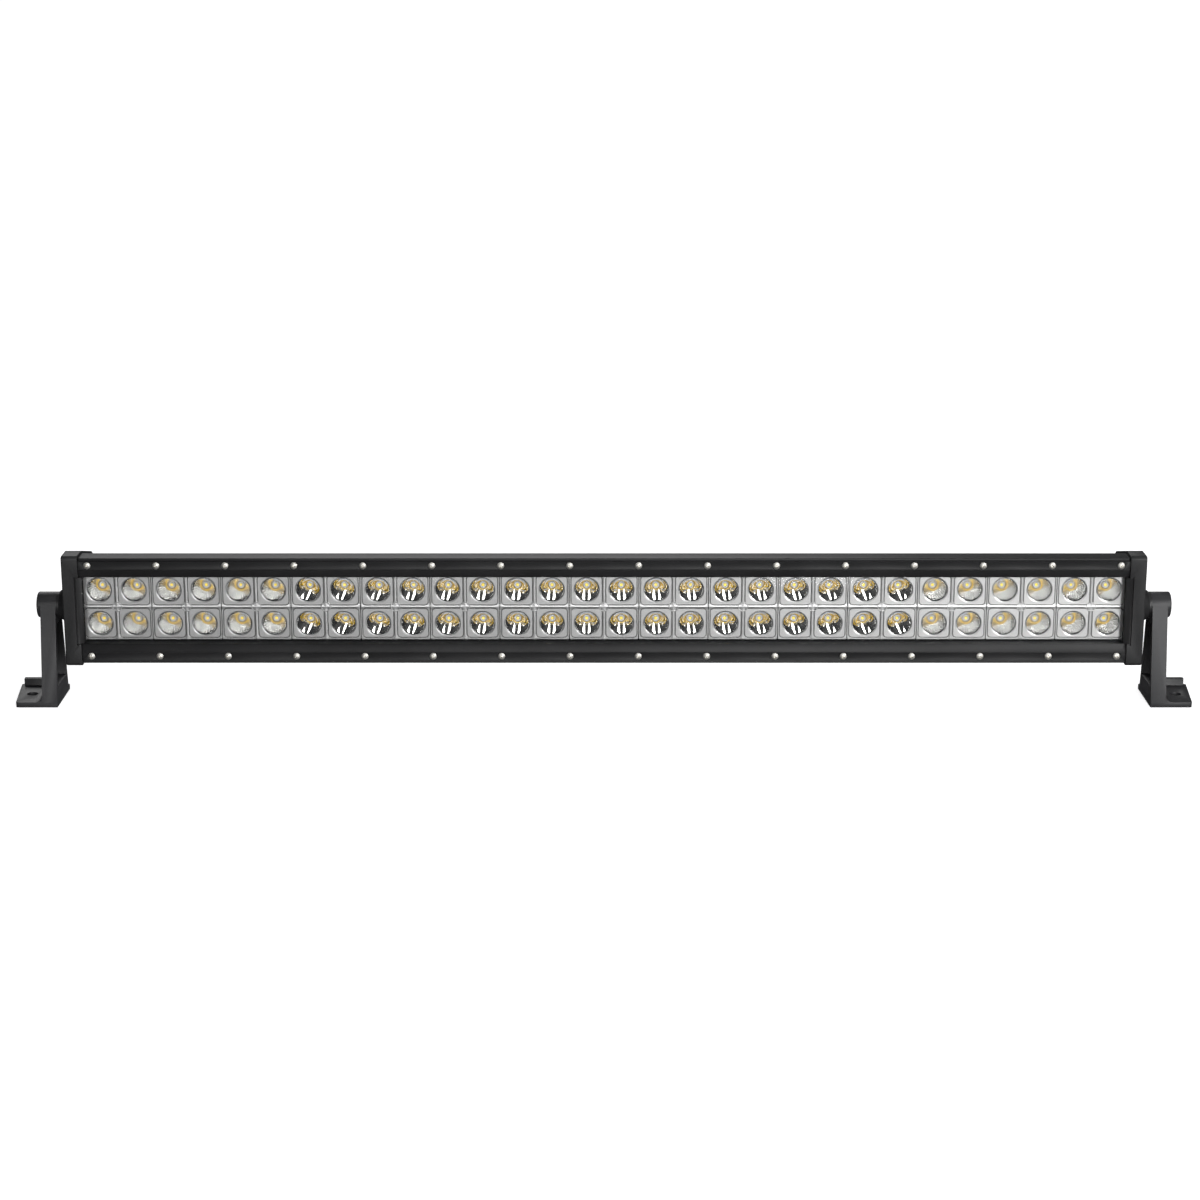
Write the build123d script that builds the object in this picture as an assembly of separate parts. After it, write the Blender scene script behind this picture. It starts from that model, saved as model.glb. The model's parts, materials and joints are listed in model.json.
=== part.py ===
"""Double-row LED light bar on two tilting end brackets.

Millimetres, +Z up. X runs along the bar, the light shines towards -Y.
The origin lies on the mounting plane, midway between the two foot bolts.
Every piece is drawn about the tilt axis and lifted to its height when it is written.
"""
from build123d import *
import math
import os

# ---------------------------------------------------------------- light engine
tile_count = 15              # reflector tiles side by side
flood_tiles_per_end = 3      # wide-beam tiles at each end, narrow-beam tiles between
tiles_per_board = 5
column_pitch = 25.9          # between cup centres along the bar
row_pitch = 25.9             # between cup centres across the bar
tile_gap = 0.4
tile_edge = 0.4              # tile beyond its rows of cells, above and below
tile_plate = 1.5
tile_edge_bevel = 1.6
tile_bevel_share = 0.7       # bevel's depth for each millimetre of its width
cell_margin = 1.75           # from the cell's pitch line to its flat face
cell_outer_trim = 0.8        # less face on the cell's outer side, beside the tile's edge
cell_corner = 2.2
cell_groove = 0.8            # width and depth of the line round each cell
skirt_wall = 1.2
skirt_depth = 8.0
cup_rim_radius = 9.8         # outer edge of the bevelled mouth
cup_mouth_radius = 9.05
cup_mouth_bevel = 0.5
cup_wall = 0.8
die_depth = 15.0             # from the tile's face back to the light-emitting dies
emitter_diameter = 5.2
emitter_thickness = 1.5
emitter_dome_radius = 1.4
emitter_clearance = 0.3
emitter_cover = 0.1          # clear cover over the dies, in front of them
cup_neck_gap = 0.3           # between a cup's neck and the board
spot_bend = 1.0              # narrow beam: the cup's wall is a paraboloid
flood_bend = 0.45            # wide beam: the wall lies nearer to a cone
post_diameter = 7.6
post_rise = 0.5
reflector_screw_diameter = 3.0
reflector_screw_head = 5.6
reflector_screw_head_height = 2.0
reflector_screw_recess = 2.3
reflector_screw_end_gap = 0.4
post_recess_room = 0.4       # on diameter, round the screw's head
post_hole_room = 0.3         # on diameter, round the screw's shank
board_thickness = 1.6
board_edge_clearance = 0.6
board_hole_room = 0.4        # on diameter, round the reflector screws
link_size = (7.0, 0.8, 1.2)  # wire bridges that join one board to the next
link_offset = 3.4

# ------------------------------------------------------------ depths, front to back
pivot_setback = 19.5         # from the bezel's face back to the tilt axis
bezel_thickness = 3.0
lens_thickness = 3.0
seal_thickness = 1.5
tile_recess = 5.3            # from the seal's ledge back to the tiles' face
web_thickness = 3.0
chamber_depth = 15.0
back_wall = 2.4
fin_depth = 10.3

# ---------------------------------------------------------------- housing section
tile_clearance = 0.3
tile_tuck = 1.3              # how far the end tiles reach into the end caps
side_band = 13.6             # from the light cavity to the outside
rim_thickness = 2.0
rim_rise = 2.2               # rim in front of the bezel's land
rim_edge_radius = 0.7
flat_top_depth = 13.5        # from the land to where the top starts to slope
taper_slope = math.tan(math.radians(14.5))
rear_corner_radius = 10.0
cavity_wall = 2.0
skin = 2.0
land_depth = 9.0
chamber_step = 2.6           # chamber is this much narrower than the cavity, each side
chamber_wall = 2.2
shoulder = 2.0
top_fin_thickness = 1.8
top_fin_gap = 3.4
top_fin_start = 2.4          # behind the shoulder
back_fin_thickness = 1.6
back_fin_pitch = 6.0
back_fin_pairs = 5
board_slot_depth = 1.0
board_slot_from_back = 1.4
slot_clearance = 0.1
boss_diameter = 7.8
boss_gap = 1.0               # front screw boss behind the land
boss_bridge_inset = 1.0
boss_sink = 0.6              # rear screw boss into the chamber's wall

# ---------------------------------------------------------------- lens and bezels
lens_ledge = 4.4             # lens beyond the cavity, each side
lens_clearance = 0.3
lens_tuck = 1.2              # lens beyond the gasket, into the end cap
seal_width = 3.4
lip_overlap = 1.1
lip_edge_setback = 2.2       # bezel's inner edge lies this far behind its face
bezel_flat_width = 5.8
bezel_groove = 0.8
bezel_clearance = 0.2
bezel_end_gap = 0.3
bezel_screw_count = 16
bezel_screw_end_margin = 6.7
bezel_screw_diameter = 3.0
bezel_screw_head = 5.2
bezel_screw_head_height = 1.9
bezel_screw_sink = 0.7
bezel_screw_length = 9.0
bezel_screw_end_room = 0.5
bezel_recess_room = 0.5      # on diameter, round the screw's head
pan_edge_share = 0.45        # of the head's height: its bevelled edge
cross_arm_share = 0.3        # of the head's diameter: half the cross's length
cross_slot_share = 0.09      # of the head's diameter: half the cross's width
cross_depth_share = 0.55     # of the head's height
thread_clearance = 0.05      # radial, round every screw and pin

# ---------------------------------------------------------------- end caps
gasket_thickness = 1.0
gasket_inset = 0.4           # gasket's edge inside the housing's outline
gasket_hole_room = 0.6       # on diameter, round the cap screws
cap_thickness = 12.0
cap_margin = 1.9
cap_front_radius = 3.0
cap_outer_wall = 3.5
cap_ledge = 4.0              # behind the lens seal
cap_lip_reach = 2.2          # lip inward of the cap's inner face
cap_lip_width = 4.2
cap_lip_clearance = 0.3
cap_groove_width = 1.0
cap_groove_depth = 1.2
cap_edge_radius = 0.9
post_in_cap_diameter = 22.0
post_in_cap_gap = 1.0
cap_boss_base = 27.5
cap_boss_top = 21.0
cap_boss_height = 5.6
cap_screw_diameter = 4.0
cap_screw_head = 7.0
cap_screw_head_height = 2.6
cap_screw_recess = 3.2
cap_screw_edge = 0.4
cap_screw_socket = 3.0       # across flats
cap_screw_socket_depth = 1.4
cap_hole_room = 0.4          # on diameter, round the screw's shank
cap_recess_room = 0.6        # on diameter, round the screw's head
cap_screw_length = 20.0
cap_screw_rear_y = 20.3

# ---------------------------------------------------------------- pivot hardware
pad_diameter = 19.4
pad_thickness = 2.0
bolt_diameter = 8.0
bolt_length = 25.0
bolt_head_diameter = 14.0
bolt_head_height = 4.4
bolt_socket = 5.0
bolt_socket_depth = 2.6
bolt_tip_room = 1.5
bolt_head_round = 0.6        # of the head's height
washer_hole_room = 0.4       # on diameter, washers and pad round the bolt
spring_washer_diameter = 14.1
spring_washer_thickness = 2.0
spring_washer_split = 1.6
spring_washer_slant = 25.0   # degrees
flat_washer_diameter = 15.0
flat_washer_thickness = 1.5
pivot_clearance = 0.1        # radial, bolt in the bracket's eye

# ---------------------------------------------------------------- brackets
pivot_height = 74.0
eye_diameter = 19.4
eye_length = 14.7
eye_rim_radius = 1.2
eye_bore_clearance = 0.2
eye_bore_depth = 8.3
leg_offset = 0.4             # leg's inner face beyond the eye's
leg_thickness = 11.3
leg_base_half = 21.5
leg_pocket_depth = 7.0
leg_pocket_rim = 3.5
leg_pocket_floor = 15.0      # from the mounting plane
leg_pocket_top = 13.0        # below the tilt axis
foot_thickness = 4.0
foot_front_length = 31.0     # outward from the leg's inner face, along the front edge
foot_back_length = 36.3
foot_back = 26.0
foot_fillet = 5.0
foot_corner = 2.0
foot_lip_height = 9.3
foot_lip_thickness = 4.0
foot_lip_end_gap = 2.6
foot_bolt_offset = 23.0      # from the leg's inner face to the bolt hole
foot_bolt_hole = 8.5

# ---------------------------------------------------------------- driver and back
driver_end = -40.0           # the driver board's end nearest the cable entry
driver_length = 290.0
driver_board_thickness = 1.6
inductor_size = (12.5, 8.0, 12.5)
capacitor_diameter = 10.0
capacitor_height = 11.0
capacitor_edge = 0.6
mosfet_size = (9.0, 4.5, 10.0)
controller_size = (6.0, 1.8, 10.0)
first_stage_offset = 49.0    # from the near end to the first inductor
stage_pitch = 58.0
stage_count = 4
controller_offset = 34.0     # from a stage's inductor towards the near end
capacitor_offset = 19.3      # the same, for a stage's capacitors
inductor_z = 8.0
capacitor_z = 7.0
mosfet_z = -12.0
terminal_size = (10.0, 9.0, 14.0)
terminal_z = -13.0
terminal_pole_offset = 3.5
terminal_well = 3.6
terminal_entry = 3.2
terminal_wall = 1.0
lead_diameter = 1.8
lead_hole_room = 0.2         # on diameter, round each lead
lead_spacing = 2.6
lead_pad_inset = 6.0
lead_bend_radius = 3.0
lead_height_in_chamber = 5.4
grommet_hole = 7.0
grommet_flange = 9.6
grommet_flange_thickness = 1.2
gland_thread = 12.0
gland_hex = 16.0
gland_hex_thickness = 4.0
gland_collar = 12.6
gland_collar_length = 7.0
gland_bore = 8.4
gland_seal_diameter = 9.6
gland_seal_bore = 6.2
gland_seal_length = 8.5
gland_nut_length = 12.5
gland_nut_mouth = 7.4
gland_nut_hex_length = 6.5
gland_nut_front = 10.6
gland_nut_shoulder = 0.2     # dome's foot inside the hexagon's flats
gland_nut_draft = 0.8
gland_nut_nose = 3.0
gland_nut_gap = 0.6
oring_diameter = 15.0
oring_thickness = 1.3
locknut_hex = 17.0
locknut_thickness = 4.0
locknut_tail = 1.2
gland_pocket_half = 15.0
vent_x = 90.0
vent_thread = 6.0
vent_head = 11.0
vent_head_height = 4.5
vent_edge = 1.0
vent_slots = 3
vent_slot_depth = 1.6        # from the head's top to the slot's middle
vent_slot_width = 1.4
vent_slot_height = 1.0
vent_pocket_half = 9.0
overshoot = 1.0              # a cutter runs this far past the face it opens

# ---------------------------------------------------------------- places that follow
bezel_front = -pivot_setback
land_y = bezel_front + bezel_thickness
lens_back = land_y + lens_thickness
ledge_y = lens_back + seal_thickness
tile_face = ledge_y + tile_recess
die_y = tile_face + die_depth
board_face = die_y + emitter_thickness - emitter_cover
board_back = board_face + board_thickness
web_back = board_back + web_thickness
chamber_back = web_back + chamber_depth
wall_back = chamber_back + back_wall
fin_back = wall_back + fin_depth
rim_front = land_y - rim_rise
taper_start = land_y + flat_top_depth

tile_pitch = 2 * column_pitch
tile_width = tile_pitch - tile_gap
tile_height = 2 * (row_pitch + tile_edge)
cavity_half = tile_height / 2 + tile_clearance
half_height = cavity_half + side_band
rim_inner = half_height - rim_thickness
lens_half_height = cavity_half + lens_ledge
lens_pocket_half = lens_half_height + lens_clearance
chamber_half = cavity_half - chamber_step
chamber_outer = chamber_half + chamber_wall
screw_row = (lens_pocket_half + rim_inner) / 2
bezel_outer = rim_inner - bezel_clearance
bezel_inner = cavity_half - lip_overlap

light_half_length = tile_count * tile_pitch / 2 - tile_gap / 2
housing_half = light_half_length - tile_tuck
cap_inner = housing_half + gasket_thickness
cap_outer = cap_inner + cap_thickness
boss_face = cap_outer + cap_boss_height
eye_inner = boss_face + pad_thickness
eye_outer = eye_inner + eye_length
leg_inner = eye_inner + leg_offset
leg_outer = leg_inner + leg_thickness
lens_half_length = cap_inner + lens_tuck
bezel_half_length = cap_inner - bezel_end_gap

cap_screw_front_y = land_y + land_depth + boss_diameter / 2 + boss_gap
cap_screw_front_z = (cavity_half + cavity_wall + half_height - skin) / 2
cap_screw_rear_z = chamber_outer + boss_diameter / 2 - boss_sink
cap_screw_places = [
    (y, side * z)
    for y, z in ((cap_screw_front_y, cap_screw_front_z), (cap_screw_rear_y, cap_screw_rear_z))
    for side in (1, -1)
]
slot_back = chamber_back - board_slot_from_back
driver_back = slot_back - slot_clearance
driver_face = driver_back - driver_board_thickness
lead_z = row_pitch / 2


# ---------------------------------------------------------------- drawing helpers
def block(x_span, y_span, z_span):
    """Rectangular block between two limits along each axis."""
    spans = (x_span, y_span, z_span)
    middle = [(low + high) / 2 for low, high in spans]
    size = [high - low for low, high in spans]
    return Pos(*middle) * Box(*size)


def rod_x(diameter, x_from, x_to, y=0.0, z=0.0):
    """Round bar along X."""
    place = Pos((x_from + x_to) / 2, y, z) * Rot(0, 90, 0)
    return place * Cylinder(diameter / 2, x_to - x_from)


def rod_y(diameter, y_from, y_to, x=0.0, z=0.0):
    """Round bar along Y."""
    place = Pos(x, (y_from + y_to) / 2, z) * Rot(-90, 0, 0)
    return place * Cylinder(diameter / 2, y_to - y_from)


def hexagon_y(across_flats, y_from, y_to, x=0.0, z=0.0):
    """Hexagonal bar along Y."""
    outline = RegularPolygon(across_flats / math.sqrt(3), 6)
    return Pos(x, y_from, z) * Rot(-90, 0, 0) * extrude(outline, y_to - y_from)


def strip(y_from, y_to, z_from, z_to):
    """Rectangle in the bar's end view, drawn as depth by height."""
    place = Pos((y_from + y_to) / 2, (z_from + z_to) / 2)
    return place * Rectangle(y_to - y_from, z_to - z_from)


def strip_pair(y_from, y_to, z_from, z_to):
    """The same rectangle above and below the middle of the end view."""
    return strip(y_from, y_to, z_from, z_to) + strip(y_from, y_to, -z_to, -z_from)


def disc(diameter, y, z):
    """Circle in the end view."""
    return Pos(y, z) * Circle(diameter / 2)


def along_bar(section, x_from, x_to):
    """Solid with an end-view section between two places along the bar."""
    return extrude(Plane.YZ.offset(x_from) * section, x_to - x_from)


def group(solids):
    """Separate solids that share one node."""
    return Compound(children=list(solids))


def write(node, shape):
    """Save one node at its height above the mounting plane."""
    export_step(Pos(0, 0, pivot_height) * shape, f"parts/{node}.step")


# ---------------------------------------------------------------- housing
def bar_outline(margin, front_radius):
    """Outline of the bar's end view, grown outward by a margin."""
    top = half_height + margin
    back = fin_back + margin
    back_top = top - (back - taper_start) * taper_slope
    upper = [(rim_front - margin, top), (taper_start, top), (back, back_top)]
    lower = [(y, -z) for y, z in reversed(upper)]
    outline = make_face(Polyline(*upper, *lower, close=True))
    outline = fillet(outline.vertices().sort_by(Axis.X)[-2:], rear_corner_radius + margin)
    return fillet(outline.vertices().sort_by(Axis.X)[:2], front_radius)


def side_void():
    """Hollow between the light cavity's wall and the sloping outer skin."""
    front = land_y + land_depth
    floor = cavity_half + cavity_wall
    top = half_height - skin
    back_top = top - (web_back - taper_start) * taper_slope
    points = [(front, floor), (front, top), (taper_start, top), (web_back, back_top)]
    upper = make_face(Polyline(*points, (web_back, floor), close=True))
    return upper + mirror(upper, Plane.XZ)


def housing_section():
    """End view of the extruded housing, with its fins and screw channels."""
    section = bar_outline(0, rim_edge_radius)
    front = rim_front - overshoot
    section -= strip(front, land_y, -rim_inner, rim_inner)
    section -= strip(land_y, ledge_y, -lens_pocket_half, lens_pocket_half)
    section -= strip(ledge_y, board_back, -cavity_half, cavity_half)
    section -= strip(web_back, chamber_back, -chamber_half, chamber_half)
    section -= side_void()
    slot_front = driver_face - slot_clearance
    slot_half = chamber_half + board_slot_depth
    section -= strip_pair(slot_front, slot_back, chamber_half - overshoot, slot_half)
    outside = half_height + overshoot
    gap_front = web_back + shoulder
    gap_back = gap_front + top_fin_start
    while gap_front < chamber_back:
        section -= strip_pair(gap_front, min(gap_back, chamber_back), chamber_outer, outside)
        gap_front = gap_back + top_fin_thickness
        gap_back = gap_front + top_fin_gap
    section -= back_gaps()
    for y, z in cap_screw_places:
        section += disc(boss_diameter, y, z)
    bridge_half = boss_diameter / 2 - boss_bridge_inset
    section += strip_pair(
        cap_screw_front_y - bridge_half, cap_screw_front_y + bridge_half,
        cap_screw_front_z, half_height - skin / 2,
    )
    for y, z in cap_screw_places:
        section -= disc(cap_screw_diameter + 2 * thread_clearance, y, z)
    return section


def back_gaps():
    """Gaps between the cooling fins on the back."""
    fin_half = back_fin_thickness / 2
    top = half_height + overshoot
    back = fin_back + overshoot
    gaps = Sketch()
    for index in range(back_fin_pairs):
        low = index * back_fin_pitch + fin_half
        high = (index + 1) * back_fin_pitch - fin_half
        gaps += strip_pair(wall_back, back, low, high)
    last = back_fin_pairs * back_fin_pitch + fin_half
    return gaps + strip_pair(wall_back, back, last, top)


def bezel_screw_positions():
    """Places of the bezel screws along the bar."""
    reach = bezel_half_length - bezel_screw_end_margin
    pitch = 2 * reach / (bezel_screw_count - 1)
    return [-reach + index * pitch for index in range(bezel_screw_count)]


def tile_positions():
    """Places of the reflector tiles along the bar."""
    return [(index - (tile_count - 1) / 2) * tile_pitch for index in range(tile_count)]


def make_housing():
    """Finned aluminium extrusion, drilled for its screws, cable gland and vent."""
    housing = along_bar(housing_section(), -housing_half, housing_half)
    hole = bezel_screw_diameter + 2 * thread_clearance
    hole_end = bezel_front + bezel_screw_sink + bezel_screw_length + bezel_screw_end_room
    cuts = [
        rod_y(hole, land_y, hole_end, x, side * screw_row)
        for x in bezel_screw_positions() for side in (1, -1)
    ]
    hole = reflector_screw_diameter + 2 * thread_clearance
    cuts += [rod_y(hole, board_back, web_back, x) for x in tile_positions()]
    cuts.append(rod_y(grommet_hole, board_back, web_back, 0, lead_z))
    fins_back = fin_back + overshoot
    half = gland_pocket_half
    cuts.append(block((-half, half), (wall_back, fins_back), (-half, half)))
    cuts.append(rod_y(gland_thread + 2 * thread_clearance, chamber_back, wall_back))
    half = vent_pocket_half
    cuts.append(block((vent_x - half, vent_x + half), (wall_back, fins_back), (-half, half)))
    cuts.append(rod_y(vent_thread + 2 * thread_clearance, chamber_back, wall_back, vent_x))
    return housing - cuts


# ---------------------------------------------------------------- lens and bezels
def make_lens():
    """Clear flat front lens."""
    spans = (-lens_half_length, lens_half_length), (land_y, lens_back)
    return block(*spans, (-lens_half_height, lens_half_height))


def make_lens_seal():
    """Flat rubber frame between the lens and its ledge."""
    depth = (lens_back, ledge_y)
    outer = block((-lens_half_length, lens_half_length), depth,
                  (-lens_half_height, lens_half_height))
    length = lens_half_length - seal_width
    height = lens_half_height - seal_width
    return outer - block((-length, length), depth, (-height, height))


def make_bezel(side):
    """Screwed strip that clamps one long edge of the lens; side is 1 above, -1 below."""
    flat_inner = bezel_outer - bezel_flat_width
    groove_inner = flat_inner - bezel_groove
    groove_floor = bezel_front + bezel_groove
    points = [
        (land_y, bezel_outer),
        (bezel_front, bezel_outer),
        (bezel_front, flat_inner),
        (groove_floor, flat_inner),
        (groove_floor, groove_inner),
        (bezel_front, groove_inner),
        (bezel_front + lip_edge_setback, bezel_inner),
        (land_y, bezel_inner),
    ]
    section = make_face(Polyline(*[(y, side * z) for y, z in points], close=True))
    bezel = along_bar(section, -bezel_half_length, bezel_half_length)
    cuts = []
    sink = bezel_front + bezel_screw_sink
    for x in bezel_screw_positions():
        z = side * screw_row
        cuts.append(rod_y(bezel_screw_diameter + 2 * thread_clearance, sink, land_y, x, z))
        cuts.append(rod_y(bezel_screw_head + bezel_recess_room, bezel_front, sink, x, z))
    return bezel - cuts


def pan_screw(diameter, length, head, head_height, seat_y, x, z):
    """Pan-head screw with a cross recess, pointing to the back."""
    top = seat_y - head_height
    round_edge = head_height * pan_edge_share
    profile = make_face(Polyline(
        (0, top), (head / 2 - round_edge, top), (head / 2, top + round_edge),
        (head / 2, seat_y), (diameter / 2, seat_y), (diameter / 2, seat_y + length),
        (0, seat_y + length), close=True,
    ))
    arm = head * cross_arm_share
    slot = head * cross_slot_share
    recess_floor = top + head_height * cross_depth_share
    screw = revolve(profile, Axis.Y)
    screw -= block((-arm, arm), (top, recess_floor), (-slot, slot))
    screw -= block((-slot, slot), (top, recess_floor), (-arm, arm))
    return Pos(x, 0, z) * screw


def make_bezel_screws(side):
    """Row of screws along one bezel."""
    return group(
        pan_screw(bezel_screw_diameter, bezel_screw_length, bezel_screw_head,
                  bezel_screw_head_height, bezel_front + bezel_screw_sink, x, side * screw_row)
        for x in bezel_screw_positions()
    )


# ---------------------------------------------------------------- reflectors
def cup_centres():
    """Centres of a tile's four cups about the tile's own centre."""
    return [(sx * column_pitch / 2, sz * row_pitch / 2) for sx in (-1, 1) for sz in (-1, 1)]


def bowl_depth(radius, bend):
    """Depth of the bowl's wall at a radius; bend 1 is a parabola, 0 a cone."""
    reach = math.hypot(die_depth, cup_mouth_radius)
    focus = (reach - die_depth) / 2
    neck = emitter_diameter / 2 + emitter_clearance
    vertex = die_y + focus
    curved = vertex - radius ** 2 / (4 * focus)
    neck_depth = vertex - neck ** 2 / (4 * focus)
    share = (radius - neck) / (cup_mouth_radius - neck)
    straight = neck_depth + (tile_face - neck_depth) * share
    return straight + (curved - straight) * bend


def make_cup(bend):
    """Thin bowl from the tile's face down to the neck round its emitter."""
    neck = emitter_diameter / 2 + emitter_clearance
    neck_top = bowl_depth(neck, bend)
    neck_end = board_face - cup_neck_gap
    mouth_depth = tile_face + cup_mouth_bevel
    mouth = cup_mouth_radius - cup_mouth_bevel / 3
    middle = (neck + mouth) / 2
    plate_back = tile_face + tile_plate
    inner = ThreePointArc(
        (neck, neck_top), (middle, bowl_depth(middle, bend)), (mouth, mouth_depth))
    outer = ThreePointArc(
        (mouth + cup_wall, plate_back),
        (middle + cup_wall, bowl_depth(middle, bend) + cup_wall / 2),
        (neck + cup_wall, neck_top + cup_wall))
    rim = Polyline(
        (mouth, mouth_depth), (cup_rim_radius, tile_face), (cup_rim_radius, plate_back),
        (mouth + cup_wall, plate_back))
    foot = Polyline(
        (neck + cup_wall, neck_top + cup_wall), (neck + cup_wall, neck_end),
        (neck, neck_end), (neck, neck_top))
    return revolve(make_face(inner + rim + outer + foot), Axis.Y)


def cell_grooves():
    """Lines that frame each cell's flat face."""
    grooves = []
    width = column_pitch - 2 * cell_margin
    height = row_pitch - 2 * cell_margin - cell_outer_trim
    for x, z in cup_centres():
        frame = RectangleRounded(width + 2 * cell_groove, height + 2 * cell_groove,
                                 cell_corner + cell_groove)
        frame -= RectangleRounded(width, height, cell_corner)
        middle_z = z - math.copysign(cell_outer_trim / 2, z)
        grooves.append(Pos(x, tile_face, middle_z) * Rot(-90, 0, 0) * extrude(frame, cell_groove))
    return grooves


def make_tile(bend):
    """Plated reflector tile: grooved face, four cups, skirt and screw post."""
    half_x = tile_width / 2
    half_z = tile_height / 2
    plate_back = tile_face + tile_plate
    face_half = half_z - tile_edge_bevel
    bevel_back = tile_face + tile_edge_bevel * tile_bevel_share
    points = [(plate_back, half_z), (bevel_back, half_z), (tile_face, face_half)]
    points += [(y, -z) for y, z in reversed(points)]
    tile = along_bar(make_face(Polyline(*points, close=True)), -half_x, half_x)
    skirt_end = plate_back + skirt_depth
    skirt = block((-half_x, half_x), (plate_back, skirt_end), (-half_z, half_z))
    inside_x = half_x - skirt_wall
    inside_z = half_z - skirt_wall
    skirt -= block((-inside_x, inside_x), (plate_back, skirt_end), (-inside_z, inside_z))
    mouths = [rod_y(2 * cup_rim_radius, tile_face, plate_back, x, z) for x, z in cup_centres()]
    tile = tile - mouths - cell_grooves() + skirt
    cup = make_cup(bend)
    tile += [Pos(x, 0, z) * cup for x, z in cup_centres()]
    post_front = tile_face - post_rise
    recess_floor = post_front + reflector_screw_recess
    tile += rod_y(post_diameter, post_front, board_face)
    tile -= rod_y(reflector_screw_head + post_recess_room, post_front, recess_floor)
    return tile - rod_y(reflector_screw_diameter + post_hole_room, recess_floor, board_face)


def make_reflector_screws():
    """One screw through the middle of each tile into the housing's web."""
    seat = tile_face - post_rise + reflector_screw_recess
    length = web_back - seat - reflector_screw_end_gap
    return group(
        pan_screw(reflector_screw_diameter, length, reflector_screw_head,
                  reflector_screw_head_height, seat, x, 0)
        for x in tile_positions()
    )


# ---------------------------------------------------------------- boards and emitters
def board_tiles(index):
    """Places of the tiles over one board."""
    return tile_positions()[index * tiles_per_board:(index + 1) * tiles_per_board]


def board_span(index):
    """Ends of one board along the bar."""
    places = board_tiles(index)
    return places[0] - tile_width / 2, places[-1] + tile_width / 2


def make_led_board(index):
    """Aluminium-core board behind five tiles."""
    half = tile_height / 2 - board_edge_clearance / 2
    board = block(board_span(index), (board_face, board_back), (-half, half))
    hole = reflector_screw_diameter + board_hole_room
    cuts = [rod_y(hole, board_face, board_back, x) for x in board_tiles(index)]
    low, high = board_span(index)
    if low < 0 < high:
        lead_hole = lead_diameter + lead_hole_room
        cuts += [rod_y(lead_hole, board_face, board_back, 0, z) for z in lead_heights()]
    return board - cuts


def make_emitters(index):
    """Domed emitters of one board, four under each tile."""
    top = board_face - emitter_thickness
    base = rod_y(emitter_diameter, top, board_face)
    dome = Pos(0, top, 0) * Rot(90, 0, 0) * Sphere(emitter_dome_radius, arc_size1=0)
    emitter = base + dome
    return group(
        Pos(x + dx, 0, dz) * emitter
        for x in board_tiles(index) for dx, dz in cup_centres()
    )


def make_board_links():
    """Tinned bridges that join each board to the next."""
    length, depth, width = link_size
    links = []
    for index in range(tile_count // tiles_per_board - 1):
        joint = board_span(index)[1] + tile_gap / 2
        for side in (1, -1):
            z = side * link_offset
            links.append(block((joint - length / 2, joint + length / 2),
                               (board_face - depth, board_face), (z - width / 2, z + width / 2)))
    return group(links)


# ---------------------------------------------------------------- driver
def make_driver_board():
    """Driver board, slid into the chamber's slots."""
    half = chamber_half + board_slot_depth - slot_clearance
    return block((driver_end - driver_length, driver_end), (driver_face, driver_back),
                 (-half, half))


def on_driver(size, from_end, z):
    """Block-shaped component standing on the driver board."""
    length, depth, width = size
    x = driver_end - from_end
    return block((x - length / 2, x + length / 2), (driver_face - depth, driver_face),
                 (z - width / 2, z + width / 2))


def stage_offsets():
    """Distances of the converter stages from the driver board's near end."""
    return [first_stage_offset + stage_pitch * index for index in range(stage_count)]


def make_driver_inductors():
    """Shielded inductors, one for each converter stage."""
    return group(on_driver(inductor_size, offset, inductor_z) for offset in stage_offsets())


def make_driver_capacitors():
    """Can capacitors, two for each converter stage."""
    cans = []
    for offset in stage_offsets():
        x = driver_end - offset + capacitor_offset
        for z in (-capacitor_z, capacitor_z):
            can = rod_y(capacitor_diameter, driver_face - capacitor_height, driver_face, x, z)
            cans.append(chamfer(can.edges().group_by(Axis.Y)[0], capacitor_edge))
    return group(cans)


def make_driver_chips():
    """Power transistors and their controllers."""
    chips = [on_driver(mosfet_size, offset, mosfet_z) for offset in stage_offsets()]
    chips += [on_driver(controller_size, offset - controller_offset, 0.0)
              for offset in stage_offsets()]
    return group(chips)


def make_input_terminal():
    """Two-pole terminal block for the supply cable."""
    terminal = on_driver(terminal_size, terminal_size[0], terminal_z)
    front = driver_face - terminal_size[1]
    x = driver_end - terminal_size[0]
    poles = (terminal_z - terminal_pole_offset, terminal_z + terminal_pole_offset)
    wells = [rod_y(terminal_well, front, front + terminal_well, x, z) for z in poles]
    entry_y = driver_face - terminal_well
    entry_end = x + terminal_size[0] / 2
    entries = [rod_x(terminal_entry, x + terminal_wall, entry_end, entry_y, z) for z in poles]
    return terminal - wells - entries


def lead_heights():
    """Heights of the two leads that feed the middle board."""
    return lead_z - lead_spacing / 2, lead_z + lead_spacing / 2


def make_led_leads():
    """Two insulated leads from the driver, through the web, to the middle board."""
    leads = []
    start_x = driver_end - lead_pad_inset
    run_y = driver_face - lead_height_in_chamber
    for z in lead_heights():
        path = FilletPolyline(
            (start_x, driver_face, z), (start_x, run_y, z), (0, run_y, z), (0, board_face, z),
            radius=lead_bend_radius)
        section = Plane(origin=(start_x, driver_face, z), z_dir=(0, -1, 0)) * Circle(
            lead_diameter / 2)
        leads.append(sweep(section, path=path))
    return group(leads)


def make_wire_grommet():
    """Rubber grommet in the web, round both leads."""
    sleeve = rod_y(grommet_hole - 2 * thread_clearance, board_back, web_back, 0, lead_z)
    flange_end = web_back + grommet_flange_thickness
    grommet = sleeve + rod_y(grommet_flange, web_back, flange_end, 0, lead_z)
    hole = lead_diameter + lead_hole_room
    holes = [rod_y(hole, board_back, flange_end, 0, z) for z in lead_heights()]
    return grommet - holes


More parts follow.
